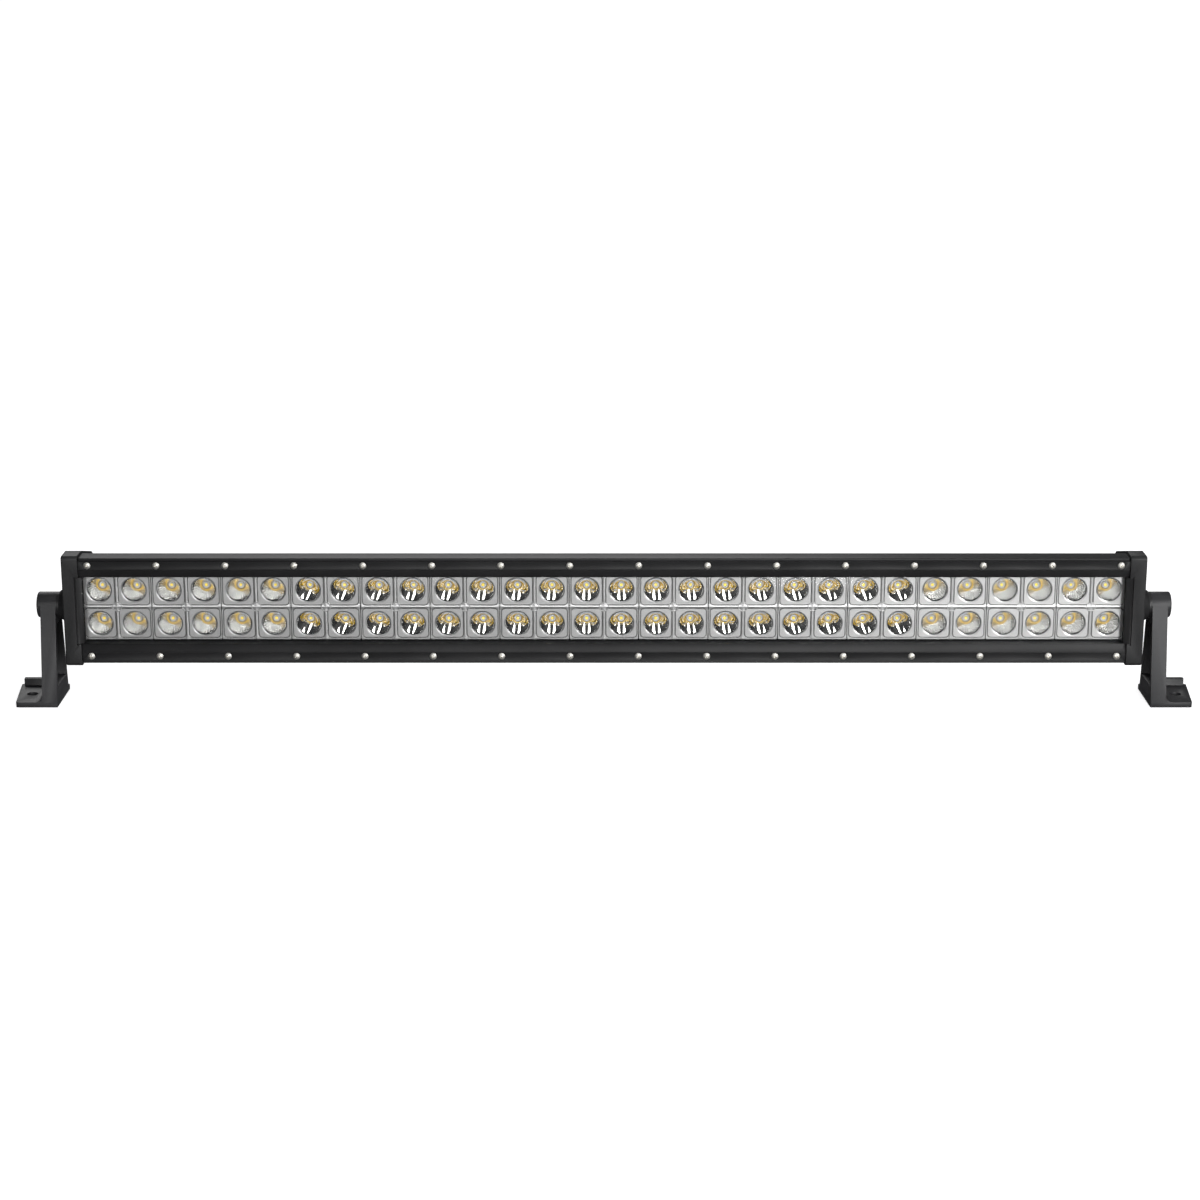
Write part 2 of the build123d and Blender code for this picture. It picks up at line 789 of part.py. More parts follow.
# ---------------------------------------------------------------- cable gland and vent
def make_gland_body():
    """Gland body, screwed through the back wall."""
    seat = wall_back + oring_thickness
    hex_end = seat + gland_hex_thickness
    collar_end = hex_end + gland_collar_length
    tail = chamber_back - locknut_thickness - locknut_tail
    body = rod_y(gland_thread, tail, seat)
    body += hexagon_y(gland_hex, seat, hex_end)
    body += rod_y(gland_collar, hex_end, collar_end)
    body -= rod_y(gland_bore, tail, collar_end)
    seal_front = collar_end - (gland_collar_length - gland_nut_gap)
    return body - rod_y(gland_seal_diameter + 2 * thread_clearance, seal_front, collar_end)


def gland_collar_end():
    """Back end of the gland body's threaded collar."""
    return wall_back + oring_thickness + gland_hex_thickness + gland_collar_length


def make_gland_seal():
    """Rubber sleeve that grips the cable."""
    start = gland_collar_end() - (gland_collar_length - gland_nut_gap)
    end = start + gland_seal_length
    return rod_y(gland_seal_diameter, start, end) - rod_y(gland_seal_bore, start, end)


def make_gland_nut():
    """Domed clamping nut of the gland."""
    start = wall_back + oring_thickness + gland_hex_thickness + gland_nut_gap
    hex_end = start + gland_nut_hex_length
    end = start + gland_nut_length
    nut = hexagon_y(gland_hex, start, hex_end)
    base = gland_hex / 2 - gland_nut_shoulder
    dome = make_face(Polyline(
        (0, hex_end), (base, hex_end), (base - gland_nut_draft, end - gland_nut_nose),
        (gland_nut_front / 2, end), (0, end), close=True))
    nut += revolve(dome, Axis.Y)
    collar_room = gland_collar_end() + thread_clearance
    seal_end = (gland_collar_end() - gland_collar_length + gland_nut_gap + gland_seal_length)
    nut -= rod_y(gland_collar + 2 * thread_clearance, start, collar_room)
    nut -= rod_y(gland_seal_diameter + 2 * thread_clearance, collar_room, seal_end)
    return nut - rod_y(gland_nut_mouth, seal_end, end)


def make_gland_locknut():
    """Hexagonal nut that holds the gland from inside the chamber."""
    start = chamber_back - locknut_thickness
    nut = hexagon_y(locknut_hex, start, chamber_back)
    return nut - rod_y(gland_thread + 2 * thread_clearance, start, chamber_back)


def make_gland_oring():
    """Flat sealing ring under the gland's hexagon."""
    ring = rod_y(oring_diameter, wall_back, wall_back + oring_thickness)
    hole = gland_thread + 2 * thread_clearance
    return ring - rod_y(hole, wall_back, wall_back + oring_thickness)


def make_breather_vent():
    """Pressure-equalising vent plug in the back wall."""
    head_end = wall_back + vent_head_height
    vent = rod_y(vent_head, wall_back, head_end, vent_x)
    vent = chamfer(vent.edges().group_by(Axis.Y)[-1], vent_edge)
    vent += rod_y(vent_thread, chamber_back, wall_back, vent_x)
    slot = Box(vent_head + overshoot, vent_slot_height, vent_slot_width)
    slots = [
        Pos(vent_x, head_end - vent_slot_depth, 0) * Rot(0, turn * 180 / vent_slots, 0) * slot
        for turn in range(vent_slots)
    ]
    return vent - slots


# ---------------------------------------------------------------- end caps
def make_end_gasket():
    """Flat gasket between the housing's right end and its cap."""
    section = bar_outline(-gasket_inset, rim_edge_radius)
    section &= strip(land_y, wall_back, -half_height, half_height)
    section -= strip(land_y - overshoot, ledge_y, -lens_pocket_half, lens_pocket_half)
    section -= strip(ledge_y - overshoot, web_back, -cavity_half, cavity_half)
    section -= strip(web_back - overshoot, chamber_back, -chamber_half, chamber_half)
    for y, z in cap_screw_places:
        section -= disc(cap_screw_diameter + gasket_hole_room, y, z)
    return along_bar(section, housing_half, cap_inner)


def make_end_cap():
    """Right die-cast cap with its lens lip, pocket and pivot boss."""
    front = rim_front - cap_margin
    cap = along_bar(bar_outline(cap_margin, cap_front_radius), cap_inner, cap_outer)
    cap = fillet(cap.faces().sort_by(Axis.X)[-1].edges(), cap_edge_radius)
    lip_end = cap_inner - cap_lip_reach
    lip_back = lip_end + cap_lip_width
    lip_half = bezel_inner - cap_lip_clearance
    cap -= block((cap_inner, lip_back), (front, bezel_front), (-lip_half, lip_half))
    lip = make_face(Polyline(
        (cap_inner, land_y), (lip_end, land_y),
        (lip_end, bezel_front + lip_edge_setback), (cap_inner, lip_slope(cap_inner)),
        close=True))
    cap += Pos(0, 0, -lip_half) * extrude(lip, 2 * lip_half)
    wedge = make_face(Polyline(
        (cap_inner, bezel_front), (lip_back, bezel_front), (cap_inner, lip_slope(cap_inner)),
        close=True))
    cap -= Pos(0, 0, -lip_half) * extrude(wedge, 2 * lip_half)
    groove_end = lip_back + cap_groove_width
    cap -= block((lip_back, groove_end), (front, bezel_front + cap_groove_depth),
                 (-lip_half - cap_groove_width, lip_half + cap_groove_width))
    lens_room = lens_half_length + lens_clearance
    cap -= block((cap_inner, lens_room), (land_y, ledge_y),
                 (-lens_pocket_half, lens_pocket_half))
    pocket_end = cap_outer - cap_outer_wall
    pocket = block((cap_inner, pocket_end), (ledge_y + cap_ledge, chamber_back),
                   (-cavity_half, cavity_half))
    pocket -= rod_x(post_in_cap_diameter, cap_inner + post_in_cap_gap, pocket_end)
    cap -= pocket
    boss = Pos((cap_outer + boss_face) / 2, 0, 0) * Rot(0, 90, 0) * Cone(
        cap_boss_base / 2, cap_boss_top / 2, cap_boss_height)
    cap += boss
    tip = bolt_seat() - bolt_length - bolt_tip_room
    cap -= rod_x(bolt_diameter + 2 * thread_clearance, tip, boss_face)
    recess = cap_outer - cap_screw_recess
    for y, z in cap_screw_places:
        cap -= rod_x(cap_screw_diameter + cap_hole_room, cap_inner, recess, y, z)
        cap -= rod_x(cap_screw_head + cap_recess_room, recess, cap_outer, y, z)
    return cap


def lip_slope(x):
    """Depth of the cap lip's sloping face at a place along the bar."""
    start = cap_inner - cap_lip_reach
    return bezel_front + lip_edge_setback * (1 - (x - start) / cap_lip_width)


def make_end_cap_screws():
    """Four socket screws that hold the right cap."""
    screws = []
    seat = cap_outer - cap_screw_recess
    hexagon = RegularPolygon(cap_screw_socket / math.sqrt(3), 6)
    socket = Rot(0, 90, 0) * extrude(hexagon, cap_screw_socket_depth)
    for y, z in cap_screw_places:
        head_end = seat + cap_screw_head_height
        screw = rod_x(cap_screw_head, seat, head_end, y, z)
        screw = chamfer(screw.edges().group_by(Axis.X)[-1], cap_screw_edge)
        screw += rod_x(cap_screw_diameter, seat - cap_screw_length, seat, y, z)
        screws.append(screw - Pos(head_end - cap_screw_socket_depth, y, z) * socket)
    return group(screws)


# ---------------------------------------------------------------- pivot hardware
def eye_floor():
    """Bottom of the counterbore in the bracket's eye."""
    return eye_outer - eye_bore_depth


def bolt_seat():
    """Underside of the pivot bolt's head."""
    return eye_floor() + flat_washer_thickness + spring_washer_thickness


def make_pivot_bolt():
    """Button-head bolt that clamps the bracket to the cap."""
    seat = bolt_seat()
    head_end = seat + bolt_head_height
    head = rod_x(bolt_head_diameter, seat, head_end)
    head = fillet(head.edges().group_by(Axis.X)[-1], bolt_head_height * bolt_head_round)
    socket = extrude(RegularPolygon(bolt_socket / math.sqrt(3), 6), bolt_socket_depth)
    head -= Pos(head_end - bolt_socket_depth, 0, 0) * Rot(0, 90, 0) * socket
    return head + rod_x(bolt_diameter, seat - bolt_length, seat)


def make_spring_washer():
    """Split lock washer."""
    start = eye_floor() + flat_washer_thickness
    end = start + spring_washer_thickness
    hole = bolt_diameter + washer_hole_room
    ring = rod_x(spring_washer_diameter, start, end) - rod_x(hole, start, end)
    middle = (start + end) / 2
    cutter = Box(spring_washer_thickness * 3, spring_washer_diameter, spring_washer_split)
    offset = Pos(middle, spring_washer_diameter / 2, 0) * Rot(0, spring_washer_slant, 0)
    return ring - offset * cutter


def make_flat_washer():
    """Flat washer on the floor of the bracket's counterbore."""
    start = eye_floor()
    end = start + flat_washer_thickness
    hole = bolt_diameter + washer_hole_room
    return rod_x(flat_washer_diameter, start, end) - rod_x(hole, start, end)


def make_pivot_pad():
    """Nylon friction disc between the cap's boss and the bracket."""
    pad = rod_x(pad_diameter, boss_face, eye_inner)
    return pad - rod_x(bolt_diameter + washer_hole_room, boss_face, eye_inner)


# ---------------------------------------------------------------- brackets
def leg_outline():
    """Side view of the leg: the eye's round, spreading to the base."""
    eye = Circle(eye_diameter / 2)
    base_middle = foot_thickness / 2 - pivot_height
    base = Pos(0, base_middle) * Rectangle(2 * leg_base_half, foot_thickness)
    return make_hull(eye.edges() + base.edges())


def make_bracket():
    """Right cast bracket: eye, hollow leg and bolt-down foot with a rear lip."""
    outline = leg_outline()
    leg = along_bar(outline, leg_inner, leg_outer)
    window = strip(-leg_base_half, leg_base_half,
                   leg_pocket_floor - pivot_height, -leg_pocket_top)
    pocket = offset(outline, -leg_pocket_rim, kind=Kind.INTERSECTION) & window
    leg -= along_bar(pocket, leg_inner, leg_inner + leg_pocket_depth)
    eye = rod_x(eye_diameter, eye_inner, eye_outer)
    eye = fillet(eye.edges().group_by(Axis.X)[-1], eye_rim_radius)
    bracket = leg + eye
    floor = -pivot_height
    tread = floor + foot_thickness
    front_end = leg_inner + foot_front_length
    back_end = leg_inner + foot_back_length
    plan = make_face(Polyline(
        (leg_inner, -leg_base_half), (front_end, -leg_base_half),
        (back_end, foot_back), (leg_inner, foot_back), close=True))
    plan = fillet(plan.vertices().sort_by(Axis.X)[-2:], foot_corner)
    bracket += Pos(0, 0, floor) * extrude(plan, foot_thickness)
    lip_end = front_end + foot_lip_end_gap
    bracket += block((leg_outer - overshoot, lip_end), (foot_back - foot_lip_thickness, foot_back),
                     (tread - overshoot, floor + foot_lip_height))
    corner = make_face(Polyline(
        (leg_outer, tread), (leg_outer + foot_fillet, tread), (leg_outer, tread + foot_fillet),
        close=True))
    corner -= Pos(leg_outer + foot_fillet, tread + foot_fillet) * Circle(foot_fillet)
    web = extrude(Plane.XZ.offset(-leg_base_half) * corner, 2 * leg_base_half)
    bracket += web
    bolt_x = leg_inner + foot_bolt_offset
    bracket -= Pos(bolt_x, 0, (floor + tread) / 2) * Cylinder(foot_bolt_hole / 2, foot_thickness)
    bracket -= rod_x(bolt_diameter + 2 * pivot_clearance, eye_inner, eye_floor())
    bore = flat_washer_diameter + 2 * eye_bore_clearance
    return bracket - rod_x(bore, eye_floor(), eye_outer)


# ---------------------------------------------------------------- write every node
def write_pair(name, shape):
    """Write a right-hand piece and its mirror image on the left."""
    write(f"right_{name}", shape)
    write(f"left_{name}", mirror(shape, Plane.YZ))


def main():
    """Make and save every piece."""
    os.makedirs("parts", exist_ok=True)
    write("housing", make_housing())
    write("lens", make_lens())
    write("lens_seal", make_lens_seal())
    for name, side in (("upper", 1), ("lower", -1)):
        write(f"{name}_bezel", make_bezel(side))
        write(f"{name}_bezel_screws", make_bezel_screws(side))

    flood_tile = make_tile(flood_bend)
    spot_tile = make_tile(spot_bend)
    flood_number = 0
    spot_number = 0
    for index, x in enumerate(tile_positions()):
        near_end = min(index, tile_count - 1 - index) < flood_tiles_per_end
        if near_end:
            flood_number += 1
            write(f"flood_reflector_{flood_number}", Pos(x, 0, 0) * flood_tile)
        else:
            spot_number += 1
            write(f"spot_reflector_{spot_number}", Pos(x, 0, 0) * spot_tile)
    write("reflector_screws", make_reflector_screws())

    for index in range(tile_count // tiles_per_board):
        write(f"led_board_{index + 1}", make_led_board(index))
        write(f"emitters_{index + 1}", make_emitters(index))
    write("board_links", make_board_links())
    write("driver_board", make_driver_board())
    write("driver_inductors", make_driver_inductors())
    write("driver_capacitors", make_driver_capacitors())
    write("driver_chips", make_driver_chips())
    write("input_terminal", make_input_terminal())
    write("led_leads", make_led_leads())
    write("wire_grommet", make_wire_grommet())

    write("gland_body", make_gland_body())
    write("gland_seal", make_gland_seal())
    write("gland_nut", make_gland_nut())
    write("gland_locknut", make_gland_locknut())
    write("gland_oring", make_gland_oring())
    write("breather_vent", make_breather_vent())

    write_pair("end_gasket", make_end_gasket())
    write_pair("end_cap", make_end_cap())
    write_pair("end_cap_screws", make_end_cap_screws())
    write_pair("pivot_pad", make_pivot_pad())
    write_pair("pivot_bolt", make_pivot_bolt())
    write_pair("spring_washer", make_spring_washer())
    write_pair("flat_washer", make_flat_washer())
    write_pair("bracket", make_bracket())


main()
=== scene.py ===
# %% [markdown]
# # An LED light bar, built as a lesson
#
# The real object is a long black aluminium extrusion with a clear lens. Behind the lens stand
# fifteen plated reflector tiles with four cups each, and every cup has one domed emitter at its
# bottom. Two cast brackets carry the bar on pivot bolts.
#
# The engineering frame is loaded first and never moved. Each cell after it makes one piece or one
# finish, and takes its place from the frame, so that nothing has to be fitted by eye.

# %% Load the frame
import bmesh
import bpy
import json
import math
from mathutils import Matrix, Vector


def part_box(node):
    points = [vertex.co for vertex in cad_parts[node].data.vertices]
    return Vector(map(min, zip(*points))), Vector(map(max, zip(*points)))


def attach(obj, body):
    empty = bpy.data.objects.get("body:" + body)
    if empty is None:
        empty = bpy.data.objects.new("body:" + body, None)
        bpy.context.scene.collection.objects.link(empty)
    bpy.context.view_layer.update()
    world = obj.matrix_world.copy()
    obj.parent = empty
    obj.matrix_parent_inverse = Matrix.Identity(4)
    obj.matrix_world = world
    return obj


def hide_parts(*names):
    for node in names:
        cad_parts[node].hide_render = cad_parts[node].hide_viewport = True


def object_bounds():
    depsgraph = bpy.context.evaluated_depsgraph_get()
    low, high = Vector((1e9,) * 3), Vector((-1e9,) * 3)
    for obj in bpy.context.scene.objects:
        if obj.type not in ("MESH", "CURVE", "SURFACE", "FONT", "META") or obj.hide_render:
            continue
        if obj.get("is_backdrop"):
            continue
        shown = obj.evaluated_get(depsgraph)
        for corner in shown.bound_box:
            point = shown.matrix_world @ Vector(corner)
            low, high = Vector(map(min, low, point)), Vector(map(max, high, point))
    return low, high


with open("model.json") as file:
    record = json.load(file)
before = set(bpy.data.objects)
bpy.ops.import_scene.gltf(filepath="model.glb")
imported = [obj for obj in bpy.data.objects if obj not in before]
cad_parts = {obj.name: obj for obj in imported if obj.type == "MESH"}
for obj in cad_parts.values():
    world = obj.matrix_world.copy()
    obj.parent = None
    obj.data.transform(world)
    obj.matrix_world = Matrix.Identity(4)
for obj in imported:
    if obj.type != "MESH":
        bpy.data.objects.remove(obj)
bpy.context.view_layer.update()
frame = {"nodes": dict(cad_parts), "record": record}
MM = 0.001
scene = bpy.context.scene


# %% [markdown]
# ## Small helpers
#
# Colours are written as sRGB hex, the way a paint chart gives them. Shaders need linear values, so
# one function converts them. One more function adds a shader or geometry node, sets its options and
# connects its inputs. With these two, a whole material fits in a few lines.

# %% Colour and node helpers
def linear(hex_colour):
    """sRGB hex such as "#1c1c1e" to a linear RGBA tuple."""
    parts = [int(hex_colour[i:i + 2], 16) / 255 for i in (1, 3, 5)]
    return tuple(v / 12.92 if v <= 0.04045 else ((v + 0.055) / 1.055) ** 2.4 for v in parts) + (1,)


def add_node(tree, kind, inputs=None, **settings):
    """Add a node, set its options, then give its inputs values or links."""
    node = tree.nodes.new(kind)
    for name, value in settings.items():
        setattr(node, name, value)
    for key, value in (inputs or {}).items():
        if isinstance(value, bpy.types.NodeSocket):
            tree.links.new(value, node.inputs[key])
        else:
            node.inputs[key].default_value = value
    return node


def new_material(name, **sockets):
    """A material with one Principled shader; returns it, its tree and the shader."""
    material = bpy.data.materials.new(name)
    material.use_nodes = True
    tree = material.node_tree
    shader = tree.nodes["Principled BSDF"]
    for key, value in sockets.items():
        shader.inputs[key.replace("_", " ")].default_value = value
    return material, tree, shader


def ramp_between(tree, factor, low, high, start=0.0, end=1.0):
    """Colour ramp from one colour to another over part of a factor."""
    node = add_node(tree, "ShaderNodeValToRGB", {"Fac": factor})
    first, last = node.color_ramp.elements
    first.position, first.color = start, low
    last.position, last.color = end, high
    return node.outputs["Color"]


print("helpers ready; mid grey is", [round(v, 3) for v in linear("#808080")[:3]])


# %% [markdown]
# ## Black powder coat
#
# The housing, its clamping strips, the end caps and the brackets are aluminium, sprayed with a dry
# polyester powder and baked. The powder melts into a skin with a fine grain, so the black never
# looks like a mirror: each grain scatters a little light and the whole face goes soft grey. A real
# grain is about 0.3 mm. It is drawn at about 0.7 mm, as fine as a picture of a 0.9 m object shows.

# %% Powder coat material
POWDER_GRAIN = 0.7 * MM
POWDER_CLOUD = 45 * MM


def powder_coat(name, hex_low, hex_high, roughness, grain_height, gloss=0.5):
    """Baked polyester powder: two close blacks, a fine grain and faint broad clouds."""
    material, tree, shader = new_material(name, Specular_IOR_Level=gloss, IOR=1.5)
    place = add_node(tree, "ShaderNodeTexCoord").outputs["Object"]
    grain = add_node(tree, "ShaderNodeTexNoise", {
        "Vector": place, "Scale": 1 / POWDER_GRAIN, "Detail": 3.0, "Roughness": 0.6})
    cloud = add_node(tree, "ShaderNodeTexNoise", {
        "Vector": place, "Scale": 1 / POWDER_CLOUD, "Detail": 2.0})
    mixed = add_node(tree, "ShaderNodeMath", {
        0: grain.outputs["Fac"], 1: cloud.outputs["Fac"]}, operation="MULTIPLY")
    colour = ramp_between(tree, mixed.outputs[0], linear(hex_low), linear(hex_high), 0.12, 0.42)
    tree.links.new(colour, shader.inputs["Base Color"])
    rough = add_node(tree, "ShaderNodeMapRange", {
        "Value": grain.outputs["Fac"], "To Min": roughness - 0.07, "To Max": roughness + 0.07})
    tree.links.new(rough.outputs[0], shader.inputs["Roughness"])
    bump = add_node(tree, "ShaderNodeBump", {
        "Height": grain.outputs["Fac"], "Distance": grain_height, "Strength": 0.6})
    tree.links.new(bump.outputs[0], shader.inputs["Normal"])
    return material


housing_coat = powder_coat("powder_coat_housing", "#141415", "#212122", 0.48, 0.05 * MM, 0.4)
bezel_coat = powder_coat("powder_coat_bezel", "#121213", "#1e1e1f", 0.46, 0.05 * MM, 0.3)
cap_coat = powder_coat("powder_coat_end_cap", "#131314", "#212122", 0.50, 0.06 * MM, 0.4)
bracket_coat = powder_coat("powder_coat_bracket", "#1c1c1e", "#2b2b2d", 0.45, 0.06 * MM)
print("powder coats:", [m.name for m in (housing_coat, bezel_coat, cap_coat, bracket_coat)])


# %% [markdown]
# ## Bright metals
#
# The outer screws are stainless steel, cold headed and then tumbled, which leaves them bright with a
# soft random scuff. The tiles' screws are plain self-tapping steel, darker and duller. The washers
# are zinc plated, which is bluer and cloudier. All are metals, so the colour is the tint of the
# reflection and the pattern goes into the roughness.

# %% Steel materials
def bright_metal(name, hex_low, hex_high, smooth, rough, scuff):
    """Metal whose roughness wanders over patches of the scuff's size."""
    material, tree, shader = new_material(name, Metallic=1.0)
    place = add_node(tree, "ShaderNodeTexCoord").outputs["Object"]
    noise = add_node(tree, "ShaderNodeTexNoise", {
        "Vector": place, "Scale": 1 / scuff, "Detail": 4.0, "Roughness": 0.65})
    colour = ramp_between(tree, noise.outputs["Fac"], linear(hex_low), linear(hex_high), 0.3, 0.7)
    tree.links.new(colour, shader.inputs["Base Color"])
    spread = add_node(tree, "ShaderNodeMapRange", {
        "Value": noise.outputs["Fac"], "From Min": 0.3, "From Max": 0.7,
        "To Min": smooth, "To Max": rough})
    tree.links.new(spread.outputs[0], shader.inputs["Roughness"])
    bump = add_node(tree, "ShaderNodeBump", {
        "Height": noise.outputs["Fac"], "Distance": 0.01 * MM, "Strength": 0.5})
    tree.links.new(bump.outputs[0], shader.inputs["Normal"])
    return material


stainless = bright_metal("stainless_tumbled", "#e2e0da", "#fbf9f2", 0.46, 0.60, 0.6 * MM)
zinc_plate = bright_metal("zinc_plated_steel", "#9fa2a6", "#c4c6c9", 0.25, 0.45, 0.9 * MM)
dull_steel = bright_metal("steel_self_tapping", "#3e3e40", "#6c6c6e", 0.25, 0.45, 0.5 * MM)
tinned = bright_metal("copper_tinned_bright", "#b9b7b0", "#dcdad4", 0.2, 0.4, 0.5 * MM)
print("metals:", stainless.name, zinc_plate.name, dull_steel.name, tinned.name)


# %% [markdown]
# ## Reflector plating
#
# The tiles are moulded plastic with a film of aluminium laid on in a vacuum. Inside a cup the mould
# is polished, so the film is a mirror; the flutes of a wide-beam cup are a little duller. On the
# flat face the mould is fine-blasted, so the same film looks like satin silver. The three share one
# recipe and differ in how rough the mould was. The satin face gets painted shade: its colour turns
# darker in grooves and recesses behind the face, which draws the lines round the cells.

# %% Plating materials
POST_RISE = 0.5 * MM
TILE_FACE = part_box("spot_reflector_5")[0].y + POST_RISE
# Painted shade: depths behind the tile's face where the darkening of grooves and recesses starts and
# where it is full
GROOVE_SHADE_START = 0.5 * MM
GROOVE_SHADE_FULL = 0.75 * MM


def plating(name, hex_low, hex_high, smooth, rough, blast, height):
    """Vacuum-laid aluminium over a moulded surface of a given grain."""
    material, tree, shader = new_material(name, Metallic=1.0)
    place = add_node(tree, "ShaderNodeTexCoord").outputs["Object"]
    grain = add_node(tree, "ShaderNodeTexNoise", {
        "Vector": place, "Scale": 1 / blast, "Detail": 2.0, "Roughness": 0.5})
    tint = ramp_between(tree, grain.outputs["Fac"], linear(hex_low), linear(hex_high))
    tree.links.new(tint, shader.inputs["Base Color"])
    spread = add_node(tree, "ShaderNodeMapRange", {
        "Value": grain.outputs["Fac"], "To Min": smooth, "To Max": rough})
    tree.links.new(spread.outputs[0], shader.inputs["Roughness"])
    bump = add_node(tree, "ShaderNodeBump", {
        "Height": grain.outputs["Fac"], "Distance": height, "Strength": 0.4})
    tree.links.new(bump.outputs[0], shader.inputs["Normal"])
    return material


mirror_plating = plating("plated_mirror_cup", "#f1f1ef", "#fbfbfa", 0.03, 0.07, 6 * MM, 0.0)
fluted_plating = plating("plated_fluted_cup", "#f1f1ef", "#fbfbfa", 0.06, 0.13, 4 * MM, 0.0)
satin_plating = plating("plated_satin_face", "#e8e8e7", "#f6f6f5", 0.40, 0.50, 0.7 * MM,
                        0.02 * MM)


def painted_groove_shade(material):
    """Painted shade: the face's colour turns darker in grooves and recesses behind the face."""
    tree = material.node_tree
    shader = tree.nodes["Principled BSDF"]
    tint = shader.inputs["Base Color"].links[0].from_socket
    place = add_node(tree, "ShaderNodeTexCoord").outputs["Object"]
    depth = add_node(tree, "ShaderNodeSeparateXYZ", {0: place}).outputs["Y"]
    # painted shade: the colour darkens with depth behind the tile's face
    groove_shade = add_node(tree, "ShaderNodeMapRange", {
        "Value": depth, "From Min": TILE_FACE + GROOVE_SHADE_START, "From Max": TILE_FACE + GROOVE_SHADE_FULL,
        "To Min": 1.0, "To Max": 0.3})
    shaded = add_node(tree, "ShaderNodeVectorMath", {0: tint, 1: groove_shade.outputs[0]},
                      operation="MULTIPLY")
    tree.links.new(shaded.outputs[0], shader.inputs["Base Color"])


# painted shade in the grooves and recesses of the tiles
painted_groove_shade(satin_plating)
print("platings:", mirror_plating.name, fluted_plating.name, satin_plating.name)


# %% [markdown]
# ## Clear lens
#
# The lens is a flat extruded sheet of polycarbonate. It is so clear that it shows only as a soft
# film over what lies behind it. A truly refracting sheet would cost many light paths for a shift of
# one millimetre, so the sheet is a thin mirror-like film: almost transparent straight on and more
# reflective at a slant, with faint flow marks in its gloss.

# %% Lens material
FLOW_MARK = 60 * MM


def clear_sheet(name):
    """Polycarbonate sheet, seen mostly by its gloss."""
    material, tree, shader = new_material(name, IOR=1.585, Metallic=0.0)
    shader.inputs["Base Color"].default_value = linear("#3a3d3f")
    place = add_node(tree, "ShaderNodeTexCoord").outputs["Object"]
    marks = add_node(tree, "ShaderNodeTexNoise", {
        "Vector": place, "Scale": 1 / FLOW_MARK, "Detail": 1.0})
    gloss = add_node(tree, "ShaderNodeMapRange", {
        "Value": marks.outputs["Fac"], "To Min": 0.02, "To Max": 0.06})
    tree.links.new(gloss.outputs[0], shader.inputs["Roughness"])
    slant = add_node(tree, "ShaderNodeFresnel", {"IOR": 1.3})
    film = add_node(tree, "ShaderNodeMapRange", {
        "Value": slant.outputs[0], "From Min": 0.0, "From Max": 1.0, "To Min": 0.03, "To Max": 0.8})
    tree.links.new(film.outputs[0], shader.inputs["Alpha"])
    return material


clear_lens = clear_sheet("polycarbonate_clear")
print("lens:", clear_lens.name)


# %% [markdown]
# ## Plastics and rubber
#
# Moulded nylon, sleeves and rubber share a recipe too: a base colour that wanders a little, a
# roughness and a fine bump. Only the colours, the gloss and the grain differ. The emitters get a
# painted glow: their colour and a faint emission are pale seen from the front and yellow seen from
# the side. The polished cups pick up that painted side colour.

# %% Plastic materials
def moulded(name, hex_low, hex_high, roughness, grain, height, **sockets):
    """Moulded plastic or rubber with a fine skin grain."""
    material, tree, shader = new_material(name, **sockets)
    place = add_node(tree, "ShaderNodeTexCoord").outputs["Object"]
    noise = add_node(tree, "ShaderNodeTexNoise", {
        "Vector": place, "Scale": 1 / grain, "Detail": 3.0})
    colour = ramp_between(tree, noise.outputs["Fac"], linear(hex_low), linear(hex_high), 0.3, 0.7)
    tree.links.new(colour, shader.inputs["Base Color"])
    spread = add_node(tree, "ShaderNodeMapRange", {
        "Value": noise.outputs["Fac"], "To Min": roughness - 0.06, "To Max": roughness + 0.06})
    tree.links.new(spread.outputs[0], shader.inputs["Roughness"])
    bump = add_node(tree, "ShaderNodeBump", {
        "Height": noise.outputs["Fac"], "Distance": height, "Strength": 0.5})
    tree.links.new(bump.outputs[0], shader.inputs["Normal"])
    return material


nylon = moulded("nylon_black", "#141415", "#1f1f20", 0.42, 0.8 * MM, 0.03 * MM)
rubber = moulded("rubber_black", "#0e0e0e", "#181818", 0.7, 0.6 * MM, 0.03 * MM)
emitter_body = moulded("emitter_white_body", "#dcdfe2", "#f2f3f4", 0.3, 2 * MM, 0.0)
phosphor = moulded("emitter_phosphor", "#e0bd00", "#f8dc1e", 0.4, 0.5 * MM, 0.02 * MM)
board_mask = moulded("board_white_mask", "#d6d8d6", "#e9eae8", 0.35, 1.5 * MM, 0.01 * MM)
laminate = moulded("driver_green_mask", "#0b3a1d", "#14522c", 0.35, 3 * MM, 0.02 * MM)
ferrite = moulded("inductor_ferrite", "#26272a", "#35363a", 0.6, 0.7 * MM, 0.03 * MM)
can_sleeve = moulded("sleeve_shrunk_blue_black", "#14181f", "#1f242e", 0.3, 2 * MM, 0.01 * MM)
chip_resin = moulded("resin_moulded_black", "#151515", "#202020", 0.55, 0.5 * MM, 0.02 * MM)
terminal_green = moulded("terminal_green", "#0f5a30", "#17733f", 0.4, 1.0 * MM, 0.02 * MM)
lead_red = moulded("lead_insulation_red", "#7a130f", "#9a1a15", 0.4, 1.2 * MM, 0.01 * MM)
silicone = moulded("emitter_clear_dome", "#f4efd8", "#fbf8ea", 0.05, 2 * MM, 0.0,
                   Alpha=0.22, IOR=1.41)


def painted_emitter_glow(material, hex_front, hex_side, strength):
    """Painted glow: emission and colour, one tint seen from the front and another from the side."""
    tree = material.node_tree
    shader = tree.nodes["Principled BSDF"]
    slant = add_node(tree, "ShaderNodeLayerWeight", {"Blend": 0.5})
    tint = ramp_between(tree, slant.outputs["Facing"], linear(hex_front), linear(hex_side),
                        0.20, 0.42)
    tree.links.new(tint, shader.inputs["Emission Color"])
    tree.links.new(tint, shader.inputs["Base Color"])
    shader.inputs["Emission Strength"].default_value = strength
